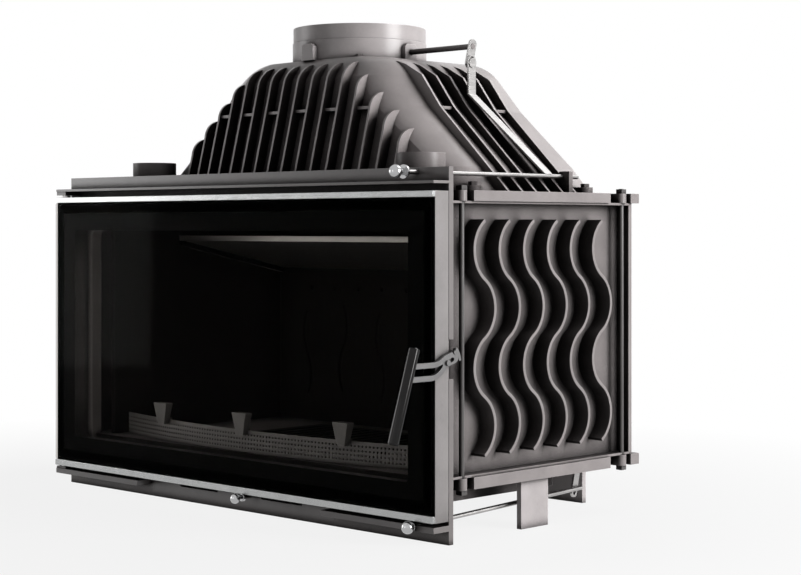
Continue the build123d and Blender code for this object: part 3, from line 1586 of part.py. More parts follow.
with BuildPart() as log_guard_posts:
    for index in (-1, 0, 1):
        x = index * post_spacing
        sag = guard_end_y - guard_mid_y
        sheet_y = guard_mid_y + sag * (x / guard_reach) ** 2
        post_y = sheet_y - guard_thick / 2 - running - post_depth / 2 - abs(index) * post_end_gap
        post_low = guard_high - post_overlap
        for shrink, mode in ((0, Mode.ADD), (post_wall, Mode.SUBTRACT)):
            with BuildSketch(Plane.XY.offset(post_low + shrink)):
                with Locations((x, post_y)):
                    Rectangle(post_foot - 2 * shrink, post_depth - post_foot_narrow - 2 * shrink)
            with BuildSketch(Plane.XY.offset(post_low + post_height)):
                with Locations((x, post_y)):
                    Rectangle(post_top - 2 * shrink, post_depth - 2 * shrink)
            loft(mode=mode)
        hook_low = guard_high + running
        with BuildSketch(side_plane(x - hook_width / 2)):
            wall_y = post_y + post_depth / 2 - post_wall
            lip_y = sheet_y + guard_thick / 2 + hook_gap + abs(index) * hook_end_gap
            Polygon(
                (wall_y, hook_low),
                (lip_y, hook_low),
                (lip_y, hook_low - hook_drop),
                (lip_y + hook_thick, hook_low - hook_drop),
                (lip_y + hook_thick, hook_low + hook_thick),
                (wall_y, hook_low + hook_thick),
                align=None,
            )
        extrude(amount=hook_width)
log_guard_posts.part.label = "log_guard_posts"
export_step(log_guard_posts.part, "parts/log_guard_posts.step")
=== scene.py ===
"""Finish of a cast iron fireplace insert: its materials, its thin sheet and woven pieces, and the stage."""

import math

import bmesh
import bpy
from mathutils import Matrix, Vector


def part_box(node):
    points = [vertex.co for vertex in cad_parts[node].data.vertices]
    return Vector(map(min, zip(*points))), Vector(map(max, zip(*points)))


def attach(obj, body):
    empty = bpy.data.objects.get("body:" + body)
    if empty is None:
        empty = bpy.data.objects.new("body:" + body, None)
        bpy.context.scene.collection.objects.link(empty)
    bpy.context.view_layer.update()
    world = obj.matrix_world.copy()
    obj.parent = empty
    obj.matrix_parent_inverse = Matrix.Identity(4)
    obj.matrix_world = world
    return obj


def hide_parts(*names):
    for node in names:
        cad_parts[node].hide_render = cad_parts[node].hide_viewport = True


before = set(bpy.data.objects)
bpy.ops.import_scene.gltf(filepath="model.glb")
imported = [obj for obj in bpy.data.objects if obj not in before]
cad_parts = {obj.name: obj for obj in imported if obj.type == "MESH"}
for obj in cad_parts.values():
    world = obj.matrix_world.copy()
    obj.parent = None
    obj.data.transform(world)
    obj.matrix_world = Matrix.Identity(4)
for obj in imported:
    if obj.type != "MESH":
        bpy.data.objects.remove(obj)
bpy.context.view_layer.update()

bl_info = {
    "name": "Cast iron fireplace insert",
    "version": (1, 0, 0),
    "blender": (4, 5, 0),
    "location": "View3D > Sidebar > Insert",
    "description": "Finishes the castings, door, linkages and stage of a fireplace insert",
    "category": "Object",
}


# Fixed numbers, with lengths in metres

WHITE = (1.0, 1.0, 1.0, 1.0)
NOISE_RANGE = (0.3, 0.7)  # nearly all values of a noise lie between these
PATCH_RANGE = (0.32, 0.68)  # the same for the broad patches of the paint
EDGE_RANGE = (0.98, 0.80)  # likeness of the eased normal and the face's own, from flat face to edge
SHADE_RANGE = (0.42, 0.86)  # openness between which the shade painted into a gap fades to the paint's own colour
DULL_RANGE = (0.66, 0.92)  # openness between which the paint goes from dull to satin
EDGE_HIGHLIGHT = 0.7  # share of an eased edge that is painted lighter, as a painted highlight
PAINT_CONTRAST = 0.16  # how far the patches leave the paint's colour, both ways
PAINT_SPECULAR = 0.02  # shine of the dull paint below its satin coat
COAT_ROUGHNESS = 0.3
GRAIN_DEPTH = 0.0006
METAL_EDGE = 0.0004
STREAK_SCALE = 600.0
STREAK_STRENGTH = 0.015
STREAK_DEPTH = 0.0002
FIBRE_DEPTH = 0.0003

BAFFLE_COLOUR = (0.52, 0.50, 0.48)
TRIM_COLOUR = (0.36, 0.365, 0.365)
CHROME_COLOUR = (0.43, 0.43, 0.435)
STEEL_COLOUR = (0.40, 0.39, 0.385)
GRIP_COLOUR = (0.021, 0.0205, 0.0205)
HANDLE_COLOUR = (0.15, 0.148, 0.148)
GLASS_TINT = (0.60, 0.59, 0.575, 1.0)
PRINT_DARK = (0.0008, 0.0009, 0.0009, 1.0)
PRINT_LIGHT = (0.002, 0.0022, 0.0022, 1.0)
ROPE_DARK, ROPE_LIGHT = (0.055, 0.054, 0.052), (0.16, 0.155, 0.15)
GASKET_DARK, GASKET_LIGHT = (0.06, 0.06, 0.058), (0.17, 0.165, 0.16)
ALONG_X, ALONG_Y = (0.05, 1.0, 1.0), (1.0, 0.05, 1.0)  # streaks drawn out along one axis

MERGE_REACH = 0.00002  # points of the punched sheet that are closer than this become one
PRINT_GAP = 0.00002  # between the glass and its print
PRINT_INSET = 0.0004  # between the print and the glass's outer edge
BEND_STEPS = 8
ROPE_SIDES = 24
BRAID_STEPS = 12  # rings in one turn of the braid
GASKET_CORNER = 0.002
GASKET_STEP = 0.004
GASKET_LINES = (-1.0, -0.5, 0.5, 1.0)  # lines of points across the gasket, as shares of its half width
WEAVE_DEPTH = 0.00015
WEAVE_PITCH = 900.0  # radians of the weave's wave for each metre of gasket

LAMP_TARGET = (0.0, 0.15, 0.35)
LAMPS = (  # label, place, width and height
    ("key", (2.75, 0.95, 0.95), 1.2, 1.2),
    ("fill", (-2.45, -1.1, 0.55), 1.15, 1.15),
    ("front", (0.0, -2.7, 0.75), 0.16, 1.3),
    ("top", (0.8, 1.6, 2.4), 1.4, 1.4),
)
FLOOR_SIZE = 14.0
GLOW_RANGE = (0.55, 1.3)  # distance from the middle over which the floor turns fully white


# Settings


class StageSettings(bpy.types.PropertyGroup):
    """Camera, lamps and floor."""

    camera_place: bpy.props.FloatVectorProperty(
        name="Camera place",
        description="Where the camera stands, about level with the window's upper edge",
        default=(1.9096, -1.6436, 0.3972),
        subtype="TRANSLATION",
        unit="LENGTH",
    )
    camera_turn: bpy.props.FloatProperty(
        name="Camera turn",
        description="Turn of the level view, from straight along Y towards the left",
        default=math.atan2(0.697, 0.717),
        subtype="ANGLE",
        unit="ROTATION",
    )
    lens: bpy.props.FloatProperty(
        name="Lens",
        description="Focal length on a 36 mm sensor",
        default=80.31,
        min=10.0,
        subtype="DISTANCE_CAMERA",
    )
    frame_rise: bpy.props.FloatProperty(
        name="Frame rise",
        description="Upward move of the frame over the horizon, in picture widths",
        default=-0.0755,
    )
    floor_colour: bpy.props.FloatVectorProperty(
        name="Floor",
        description="Colour of the floor",
        default=(0.38, 0.38, 0.38),
        min=0.0,
        max=1.0,
        subtype="COLOR",
    )
    floor_glow: bpy.props.FloatProperty(
        name="Floor glow",
        description="Share of even white in the floor near the object, where the rest takes its shadow",
        default=0.86,
        min=0.0,
        max=1.0,
    )
    key_power: bpy.props.FloatProperty(
        name="Key lamp",
        description="Power of the large lamp at the right",
        default=98.0,
        min=0.0,
        unit="POWER",
    )
    fill_power: bpy.props.FloatProperty(
        name="Fill lamp",
        description="Power of the large lamp at the left",
        default=16.0,
        min=0.0,
        unit="POWER",
    )
    front_power: bpy.props.FloatProperty(
        name="Front lamp", description="Power of the narrow lamp in front", default=3.5, min=0.0, unit="POWER"
    )
    top_power: bpy.props.FloatProperty(
        name="Top lamp", description="Power of the lamp above", default=22.0, min=0.0, unit="POWER"
    )
    sky: bpy.props.FloatProperty(
        name="Sky", description="Even light from all round", default=0.028, min=0.0, max=2.0
    )


class IronSettings(bpy.types.PropertyGroup):
    """Paint and grain of the castings."""

    body_colour: bpy.props.FloatVectorProperty(
        name="Body",
        description="Paint of the body castings",
        default=(0.240, 0.219, 0.217),
        min=0.0,
        max=1.0,
        subtype="COLOR",
    )
    # Painted light: the hood's paint is set lighter than the body's, standing in for the light on its corner.
    lit_hood_colour: bpy.props.FloatVectorProperty(
        name="Hood",
        description="Paint of the hood",
        default=(0.330, 0.298, 0.296),
        min=0.0,
        max=1.0,
        subtype="COLOR",
    )
    # Painted light: the collar and legs are the body's paint made lighter, standing in for the light that
    # falls on them.
    lit_collar_colour: bpy.props.FloatVectorProperty(
        name="Collar",
        description="Paint of the flue collar and the legs",
        default=(0.400, 0.370, 0.370),
        min=0.0,
        max=1.0,
        subtype="COLOR",
    )
    rod_colour: bpy.props.FloatVectorProperty(
        name="Tie rods",
        description="Dark steel of the tie rods and nuts",
        default=(0.075, 0.070, 0.069),
        min=0.0,
        max=1.0,
        subtype="COLOR",
    )
    front_colour: bpy.props.FloatVectorProperty(
        name="Front",
        description="Paint of the front plate, the lower panel and the air slide",
        default=(0.160, 0.146, 0.144),
        min=0.0,
        max=1.0,
        subtype="COLOR",
    )
    door_colour: bpy.props.FloatVectorProperty(
        name="Door",
        description="Paint of the door frame",
        default=(0.235, 0.222, 0.220),
        min=0.0,
        max=1.0,
        subtype="COLOR",
    )
    inner_colour: bpy.props.FloatVectorProperty(
        name="Fire chamber",
        description="Raw castings of the fire chamber, and the air duct",
        default=(0.013, 0.012, 0.0118),
        min=0.0,
        max=1.0,
        subtype="COLOR",
    )
    guard_colour: bpy.props.FloatVectorProperty(
        name="Log guard",
        description="Paint of the punched sheet and of its posts",
        default=(0.125, 0.120, 0.117),
        min=0.0,
        max=1.0,
        subtype="COLOR",
    )
    grain_size: bpy.props.FloatProperty(
        name="Grain",
        description="Size of the sand grain in the cast skin",
        default=0.0011,
        min=0.0002,
        subtype="DISTANCE",
        unit="LENGTH",
    )
    patch_size: bpy.props.FloatProperty(
        name="Patches",
        description="Size of the soft patches in the paint",
        default=0.055,
        min=0.005,
        subtype="DISTANCE",
        unit="LENGTH",
    )
    # Painted shade: faces closer than this reach to other faces get shade painted into their colour.
    gap_shade_reach: bpy.props.FloatProperty(
        name="Gap shade reach",
        description="Width of the gaps that stay dark",
        default=0.065,
        min=0.005,
        subtype="DISTANCE",
        unit="LENGTH",
    )
    # Painted highlight: the eased edge of this width is painted lighter.
    edge_width: bpy.props.FloatProperty(
        name="Edge width",
        description="Width of the eased edge that catches light",
        default=0.0011,
        min=0.0001,
        subtype="DISTANCE",
        unit="LENGTH",
    )


class DoorSettings(bpy.types.PropertyGroup):
    """Window in the glass, and the print round it."""

    window_width: bpy.props.FloatProperty(
        name="Window width",
        description="Clear width inside the print",
        default=0.708,
        min=0.1,
        subtype="DISTANCE",
        unit="LENGTH",
    )
    window_low: bpy.props.FloatProperty(
        name="Window foot",
        description="Height of the window's lower edge",
        default=0.077,
        min=0.0,
        subtype="DISTANCE",
        unit="LENGTH",
    )
    window_high: bpy.props.FloatProperty(
        name="Window top",
        description="Height of the window's upper edge",
        default=0.392,
        min=0.0,
        subtype="DISTANCE",
        unit="LENGTH",
    )
    print_thick: bpy.props.FloatProperty(
        name="Print thickness",
        description="Thickness of the baked print",
        default=0.00006,
        min=0.00001,
        subtype="DISTANCE",
        unit="LENGTH",
    )


class SealSettings(bpy.types.PropertyGroup):
    """Braided rope round the door, and flat gasket behind the glass."""

    rope_width: bpy.props.FloatProperty(
        name="Rope width",
        description="Width of the rope in its groove",
        default=0.0088,
        min=0.002,
        subtype="DISTANCE",
        unit="LENGTH",
    )
    rope_corner: bpy.props.FloatProperty(
        name="Rope corner",
        description="Radius of the rope's line at the corners",
        default=0.0168,
        min=0.004,
        subtype="DISTANCE",
        unit="LENGTH",
    )
    gasket_width: bpy.props.FloatProperty(
        name="Gasket width",
        description="Width of the flat gasket",
        default=0.014,
        min=0.002,
        subtype="DISTANCE",
        unit="LENGTH",
    )
    braid_length: bpy.props.FloatProperty(
        name="Braid length",
        description="Length of one turn of the braid",
        default=0.022,
        min=0.005,
        subtype="DISTANCE",
        unit="LENGTH",
    )
    braid_relief: bpy.props.FloatProperty(
        name="Braid relief",
        description="Height of the strands over the rope's core",
        default=0.0005,
        min=0.0,
        subtype="DISTANCE",
        unit="LENGTH",
    )
    strands: bpy.props.IntProperty(
        name="Strands", description="Strands that run each way round the rope", default=6, min=2, max=12
    )


class GuardSettings(bpy.types.PropertyGroup):
    """Perforated log guard."""

    sheet_thick: bpy.props.FloatProperty(
        name="Sheet",
        description="Thickness of the sheet",
        default=0.002,
        min=0.0005,
        subtype="DISTANCE",
        unit="LENGTH",
    )
    rim: bpy.props.FloatProperty(
        name="Rim",
        description="Least plain rim above and below the holes",
        default=0.0025,
        min=0.0,
        subtype="DISTANCE",
        unit="LENGTH",
    )
    hole_pitch: bpy.props.FloatProperty(
        name="Hole pitch",
        description="Distance between the holes",
        default=0.0062,
        min=0.002,
        subtype="DISTANCE",
        unit="LENGTH",
    )
    hole_size: bpy.props.FloatProperty(
        name="Hole size",
        description="Width of a hole",
        default=0.0036,
        min=0.001,
        subtype="DISTANCE",
        unit="LENGTH",
    )


class DuctSettings(bpy.types.PropertyGroup):
    """Folded sheet behind the lower front panel."""

    duct_thick: bpy.props.FloatProperty(
        name="Sheet",
        description="Thickness of the duct's sheet",
        default=0.0015,
        min=0.0005,
        subtype="DISTANCE",
        unit="LENGTH",
    )
    duct_bend: bpy.props.FloatProperty(
        name="Bend",
        description="Outer radius of the bend at the duct's back",
        default=0.008,
        min=0.002,
        subtype="DISTANCE",
        unit="LENGTH",
    )
    duct_foot: bpy.props.FloatProperty(
        name="Foot",
        description="Height of the duct's floor",
        default=0.008,
        min=0.0,
        subtype="DISTANCE",
        unit="LENGTH",
    )
    duct_gap: bpy.props.FloatProperty(
        name="Gap",
        description="Gap to the rails, the ash box and the bottom plate",
        default=0.0001,
        min=0.0,
        subtype="DISTANCE",
        unit="LENGTH",
    )


# Shader helpers


class Graph:
    """Node tree with short calls for adding and linking nodes."""

    def __init__(self, tree):
        self.tree = tree

    def add(self, kind, **values):
        node = self.tree.nodes.new(kind)
        for name, value in values.items():
            setattr(node, name, value)
        return node

    def link(self, start, end):
        self.tree.links.new(start, end)

    def put(self, socket, value):
        """Links the value if it is a socket, and otherwise sets it."""
        if isinstance(value, bpy.types.NodeSocket):
            self.link(value, socket)
        else:
            socket.default_value = value

    def maths(self, operation, first, second):
        node = self.add("ShaderNodeMath", operation=operation)
        self.put(node.inputs[0], first)
        self.put(node.inputs[1], second)
        return node.outputs[0]

    def spread(self, value, low, high, new_low=0.0, new_high=1.0):
        """Value from the range low to high, carried to the new range and held inside it."""
        node = self.add("ShaderNodeMapRange")
        for socket, number in zip(node.inputs[:5], (value, low, high, new_low, new_high)):
            self.put(socket, number)
        return node.outputs[0]

    def blend(self, factor, first, second):
        node = self.add("ShaderNodeMix", data_type="RGBA")
        self.put(node.inputs["Factor"], factor)
        self.put(node.inputs["A"], first)
        self.put(node.inputs["B"], second)
        return node.outputs["Result"]

    def noise(self, place, scale, detail=3.0, roughness=0.55):
        node = self.add("ShaderNodeTexNoise")
        self.put(node.inputs["Vector"], place)
        self.put(node.inputs["Scale"], scale)
        node.inputs["Detail"].default_value = detail
        node.inputs["Roughness"].default_value = roughness
        return node.outputs[0]

    def bump(self, height, strength, distance, normal=None):
        """Normal that carries the relief of the height."""
        node = self.add("ShaderNodeBump")
        node.inputs["Strength"].default_value = strength
        node.inputs["Distance"].default_value = distance
        self.link(height, node.inputs["Height"])
        if normal is not None:
            self.link(normal, node.inputs["Normal"])
        return node.outputs[0]

    def seen_rays(self):
        """1 for rays from the camera, from mirrors and through glass, and 0 for all others."""
        path = self.add("ShaderNodeLightPath").outputs
        seen = self.maths("MAXIMUM", path["Is Camera Ray"], path["Is Glossy Ray"])
        return self.maths("MAXIMUM", seen, path["Is Transmission Ray"])


def colour4(colour, gain=1.0):
    """Colour with full alpha, made lighter or darker by the gain."""
    return (*(min(1.0, channel * gain) for channel in colour), 1.0)


def new_group(name, inputs, outputs):
    """Shader group with its sockets, given as (name, kind, default), and its inner ends."""
    tree = bpy.data.node_groups.new(name, "ShaderNodeTree")
    for label, kind, default in inputs:
        socket = tree.interface.new_socket(label, in_out="INPUT", socket_type=kind)
        socket.default_value = default
    for label, kind in outputs:
        tree.interface.new_socket(label, in_out="OUTPUT", socket_type=kind)
    graph = Graph(tree)
    return graph, graph.add("NodeGroupInput").outputs, graph.add("NodeGroupOutput").inputs


def object_place(graph):
    return graph.add("ShaderNodeTexCoord").outputs["Object"]


def cast_skin_group():
    """Sand grain, shallow waves and soft patches of a painted casting."""
    graph, given, result = new_group(
        "cast_skin",
        (
            ("Grain Scale", "NodeSocketFloat", 900.0),
            ("Patch Scale", "NodeSocketFloat", 18.0),
            ("Dark", "NodeSocketColor", (0.1, 0.1, 0.1, 1.0)),
            ("Light", "NodeSocketColor", (0.14, 0.14, 0.14, 1.0)),
        ),
        (("Color", "NodeSocketColor"), ("Roughness", "NodeSocketFloat"), ("Height", "NodeSocketFloat")),
    )
    place = object_place(graph)
    grain = graph.noise(place, given["Grain Scale"], 2.0, 0.6)
    ripple = graph.noise(place, graph.maths("MULTIPLY", given["Grain Scale"], 0.16), 2.0)
    patch = graph.noise(place, given["Patch Scale"], 4.0, 0.6)
    patch_tone = graph.spread(patch, *PATCH_RANGE, 0.0, 0.6)
    tone = graph.maths("ADD", patch_tone, graph.spread(grain, *NOISE_RANGE, 0.0, 0.4))
    graph.link(graph.blend(tone, given["Dark"], given["Light"]), result["Color"])
    patch_rough = graph.spread(patch, *NOISE_RANGE, 0.34, 0.46)
    rough = graph.maths("ADD", patch_rough, graph.spread(grain, *NOISE_RANGE, -0.05, 0.05))
    graph.link(rough, result["Roughness"])
    height = graph.maths("ADD", graph.maths("MULTIPLY", grain, 0.6), ripple)
    graph.link(height, result["Height"])
    return graph.tree


def eased_edge_group():
    """Mask of the eased edges, and the normal that rounds them."""
    graph, given, result = new_group(
        "eased_edge",
        (("Radius", "NodeSocketFloat", 0.001),),
        (("Mask", "NodeSocketFloat"), ("Normal", "NodeSocketVector")),
    )
    bevel = graph.add("ShaderNodeBevel", samples=4)
    graph.link(given["Radius"], bevel.inputs["Radius"])
    true_normal = graph.add("ShaderNodeNewGeometry").outputs["True Normal"]
    dot = graph.add("ShaderNodeVectorMath", operation="DOT_PRODUCT")
    graph.link(bevel.outputs[0], dot.inputs[0])
    graph.link(true_normal, dot.inputs[1])
    graph.link(graph.spread(dot.outputs["Value"], *EDGE_RANGE), result["Mask"])
    graph.link(bevel.outputs[0], result["Normal"])
    return graph.tree


def gap_shade_group():
    """Masks that are 1 on open faces, from ambient occlusion: one sets where shade is painted into the colour
    of gaps, one where the coat is taken off so that gaps stay dull.
    """
    graph, given, result = new_group(
        "recess",
        (("Reach", "NodeSocketFloat", 0.05),),
        (("Mask", "NodeSocketFloat"), ("Open", "NodeSocketFloat")),
    )
    gap = graph.add("ShaderNodeAmbientOcclusion", samples=6)
    graph.link(given["Reach"], gap.inputs["Distance"])
    graph.link(graph.spread(gap.outputs["AO"], *SHADE_RANGE), result["Mask"])
    graph.link(graph.spread(gap.outputs["AO"], *DULL_RANGE), result["Open"])
    return graph.tree


def new_material(name):
    """Empty material with one Principled shader; returns the material, its graph and the shader."""
    material = bpy.data.materials.new(name)
    material.use_nodes = True
    material.node_tree.nodes.clear()
    graph = Graph(material.node_tree)
    shader = graph.add("ShaderNodeBsdfPrincipled")
    output = graph.add("ShaderNodeOutputMaterial")
    graph.link(shader.outputs[0], output.inputs["Surface"])
    return material, graph, shader


def place_group(graph, name, **values):
    node = graph.add("ShaderNodeGroup", node_tree=bpy.data.node_groups[name])
    for label, value in values.items():
        graph.put(node.inputs[label.replace("_", " ")], value)
    return node.outputs


def dress(material, names):
    """Gives the CAD nodes this material."""
    for name in names:
        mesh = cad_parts[name].data
        mesh.materials.clear()
        mesh.materials.append(material)


def cast_iron(name, colour, relief=0.12, highlight_gain=2.6, satin=0.45, patch=1.0, recess=0.1, reach=1.0):
    """Painted casting with grain, patches and satin open faces, with shade painted into its gaps and
    highlights painted onto its eased edges.
    """
    settings = bpy.context.scene.insert_iron
    material, graph, shader = new_material(name)
    skin = place_group(
        graph,
        "cast_skin",
        Grain_Scale=1.0 / settings.grain_size,
        Patch_Scale=patch / settings.patch_size,
        Dark=colour4(colour, 1.0 - PAINT_CONTRAST),
        Light=colour4(colour, 1.0 + PAINT_CONTRAST),
    )
    edge = place_group(graph, "eased_edge", Radius=settings.edge_width)
    # Painted highlight: eased edges, concave ones too, are painted lighter than the paint.
    edge_highlight = graph.maths("MULTIPLY", edge["Mask"], EDGE_HIGHLIGHT)
    painted = graph.blend(edge_highlight, skin["Color"], colour4(colour, highlight_gain))
    gap = place_group(graph, "recess", Reach=reach * settings.gap_shade_reach)
    # Painted shade: the colour is darkened in gaps and recesses, where shade falls.
    graph.link(graph.blend(gap["Mask"], colour4(colour, recess), painted), shader.inputs["Base Color"])
    graph.link(skin["Roughness"], shader.inputs["Roughness"])
    shader.inputs["Specular IOR Level"].default_value = PAINT_SPECULAR
    graph.link(graph.maths("MULTIPLY", gap["Open"], satin), shader.inputs["Coat Weight"])
    shader.inputs["Coat Roughness"].default_value = COAT_ROUGHNESS
    graph.link(graph.bump(skin["Height"], relief, GRAIN_DEPTH, edge["Normal"]), shader.inputs["Normal"])
    return material


def bright_metal(name, colour, rough, streak=(1.0, 1.0, 1.0)):
    """Bare or plated metal with fine streaks across or along its length."""
    material, graph, shader = new_material(name)
    mapping = graph.add("ShaderNodeMapping")
    graph.link(object_place(graph), mapping.inputs["Vector"])
    mapping.inputs["Scale"].default_value = streak
    lines = graph.noise(mapping.outputs[0], STREAK_SCALE, 2.0, 0.5)
    smears = graph.noise(object_place(graph), 45.0, 3.0, 0.6)
    tone = graph.blend(graph.spread(smears, *NOISE_RANGE), colour4(colour, 0.94), colour4(colour, 1.04))
    graph.link(tone, shader.inputs["Base Color"])
    streaked = graph.spread(lines, *NOISE_RANGE, rough * 0.8, rough * 1.2)
    smeared = graph.spread(smears, 0.4, 0.7, 0.0, 0.03)
    graph.link(graph.maths("ADD", streaked, smeared), shader.inputs["Roughness"])
    shader.inputs["Metallic"].default_value = 1.0
    edge = place_group(graph, "eased_edge", Radius=METAL_EDGE)
    graph.link(graph.bump(lines, STREAK_STRENGTH, STREAK_DEPTH, edge["Normal"]), shader.inputs["Normal"])
    return material


# Meshes


def add_object(name, data):
    """Object of the scene that holds this mesh, lamp or camera."""
    holder = bpy.data.objects.new(name, data)
    bpy.context.scene.collection.objects.link(holder)
    return holder


def add_face(shape, places):
    """Face with corners of its own at these places."""
    shape.faces.new([shape.verts.new(place) for place in places])


def new_piece(name, mesh_maker, material, body, replaces=()):
    """Object made by the bmesh maker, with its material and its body."""
    shape = bmesh.new()
    mesh_maker(shape)
    bmesh.ops.recalc_face_normals(shape, faces=shape.faces)
    mesh = bpy.data.meshes.new(name)
    shape.to_mesh(mesh)
    shape.free()
    piece = add_object(name, mesh)
    mesh.materials.append(material)
    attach(piece, body)
    if replaces:
        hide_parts(*replaces)


def rounded_loop(low, high, corner, step):
    """Points of a closed rounded rectangle in x and z, with the outward direction and the run so far."""
    points = []
    run = 0.0
    centres = (
        (high.x - corner, high.z - corner, 0.0),
        (low.x + corner, high.z - corner, 90.0),
        (low.x + corner, low.z + corner, 180.0),
        (high.x - corner, low.z + corner, 270.0),
    )
    for index, (x, z, start) in enumerate(centres):
        turns = max(4, round(corner * math.pi / 2 / step))
        for turn in range(turns):
            angle = math.radians(start + 90.0 * turn / turns)
            outward = (math.cos(angle), math.sin(angle))
            points.append((x + corner * outward[0], z + corner * outward[1], outward, run))
            run += corner * math.pi / 2 / turns
        after = centres[(index + 1) % 4]
        angle = math.radians(start + 90.0)
        outward = (math.cos(angle), math.sin(angle))
        length = abs(after[0] - x) + abs(after[1] - z)
        pieces = max(2, round(length / step))
        for piece in range(pieces):
            share = piece / pieces
            points.append(
                (
                    x + (after[0] - x) * share + corner * outward[0],
                    z + (after[1] - z) * share + corner * outward[1],
                    outward,
                    run,
                )
            )
            run += length / pieces
    return points, run


def seal_line(low, high, wide, corner, step):
    """Points and length of the line down the middle of a seal's band, inside the box of its solid."""
    inset = Vector((wide, 0.0, wide))
    return rounded_loop(low + inset, high - inset, corner, step)


def sweep_ring(shape, rings):
    """Closed surface through rings of points that follow each other round a loop."""
    made = [[shape.verts.new(point) for point in ring] for ring in rings]
    for ring, after in zip(made, made[1:] + made[:1]):
        for index in range(len(ring)):
            step = (index + 1) % len(ring)
            shape.faces.new((ring[index], ring[step], after[step], after[index]))
    for face in shape.faces:
        face.smooth = True


# Operators


class InsertOperator:
    """Shared settings of the operators."""

    bl_options = {"REGISTER", "UNDO"}


class INSERT_OT_groups(InsertOperator, bpy.types.Operator):
    """Build the shader groups that the materials share."""

    bl_idname = "insert.groups"
    bl_label = "Shared surface effects"

    def execute(self, context):
        cast_skin_group()
        eased_edge_group()
        gap_shade_group()
        return {"FINISHED"}


class INSERT_OT_body(InsertOperator, bpy.types.Operator):
    """Paint the castings of the body, its bolts, legs and tie rods, the damper's disc and the flap."""

    bl_idname = "insert.body"
    bl_label = "Body castings"

    def execute(self, context):
        settings = context.scene.insert_iron
        dress(
            cast_iron("body_iron", settings.body_colour, recess=0.05),
            (
                "top_plate",
                "bottom_plate",
                "left_side_panel",
                "right_side_panel",
                "back_plate",
                "left_air_spigot",
                "right_air_spigot",
                "damper_rod_bracket",
                "hood_bolts",
                "collar_bolts",
                "damper_shaft",
                "damper_disc",
                "ash_box",
                "air_flap",
                "flap_shaft",
            ),
        )
        # Painted light: the hood gets a lighter copy of the body's paint.
        dress(cast_iron("hood_iron", settings.lit_hood_colour, satin=1.0, highlight_gain=2.8, recess=0.04), ("hood",))
        # Painted light: a lighter copy of the body's paint for the lit collar and legs.
        dress(
            cast_iron("pale_iron", settings.lit_collar_colour, satin=0.6, reach=0.25),
            ("flue_collar", "left_side_leg", "right_side_leg", "left_rear_leg", "right_rear_leg"),
        )
        dress(
            cast_iron("rod_steel", settings.rod_colour, relief=0.04, satin=0.8),
            ("tie_rods", "tie_rod_nuts"),
        )
        return {"FINISHED"}


class INSERT_OT_front(InsertOperator, bpy.types.Operator):
    """Paint the front plate, the lower panel and the air slide."""

    bl_idname = "insert.front"
    bl_label = "Front plate"

    def execute(self, context):
        settings = context.scene.insert_iron
        dress(
            cast_iron("front_iron", settings.front_colour, satin=1.0, reach=0.2),
            ("front_plate", "lower_front_panel", "air_slide_rails", "air_slide"),
        )
        return {"FINISHED"}


class INSERT_OT_chamber(InsertOperator, bpy.types.Operator):
    """Finish the fire chamber: raw castings, baffle plate and the posts of the log guard."""

    bl_idname = "insert.chamber"
    bl_label = "Fire chamber"

    def execute(self, context):
        settings = context.scene.insert_iron
        # Painted highlight: the chamber's edges are painted much lighter, so that they show through the
        # glass.
        dress(
            cast_iron("inner_iron", settings.inner_colour, relief=0.2, satin=0.1, highlight_gain=7.0, recess=0.5),
            ("fireback", "left_liner", "right_liner", "grate", "ash_pan"),
        )
        dress(bright_metal("baffle_steel", BAFFLE_COLOUR, 0.36, streak=ALONG_Y), ("baffle_plate",))
        dress(
            cast_iron("post_iron", settings.guard_colour, satin=0.8, highlight_gain=3.5, recess=0.04, reach=0.25),
            ("log_guard_posts",),
        )
        return {"FINISHED"}


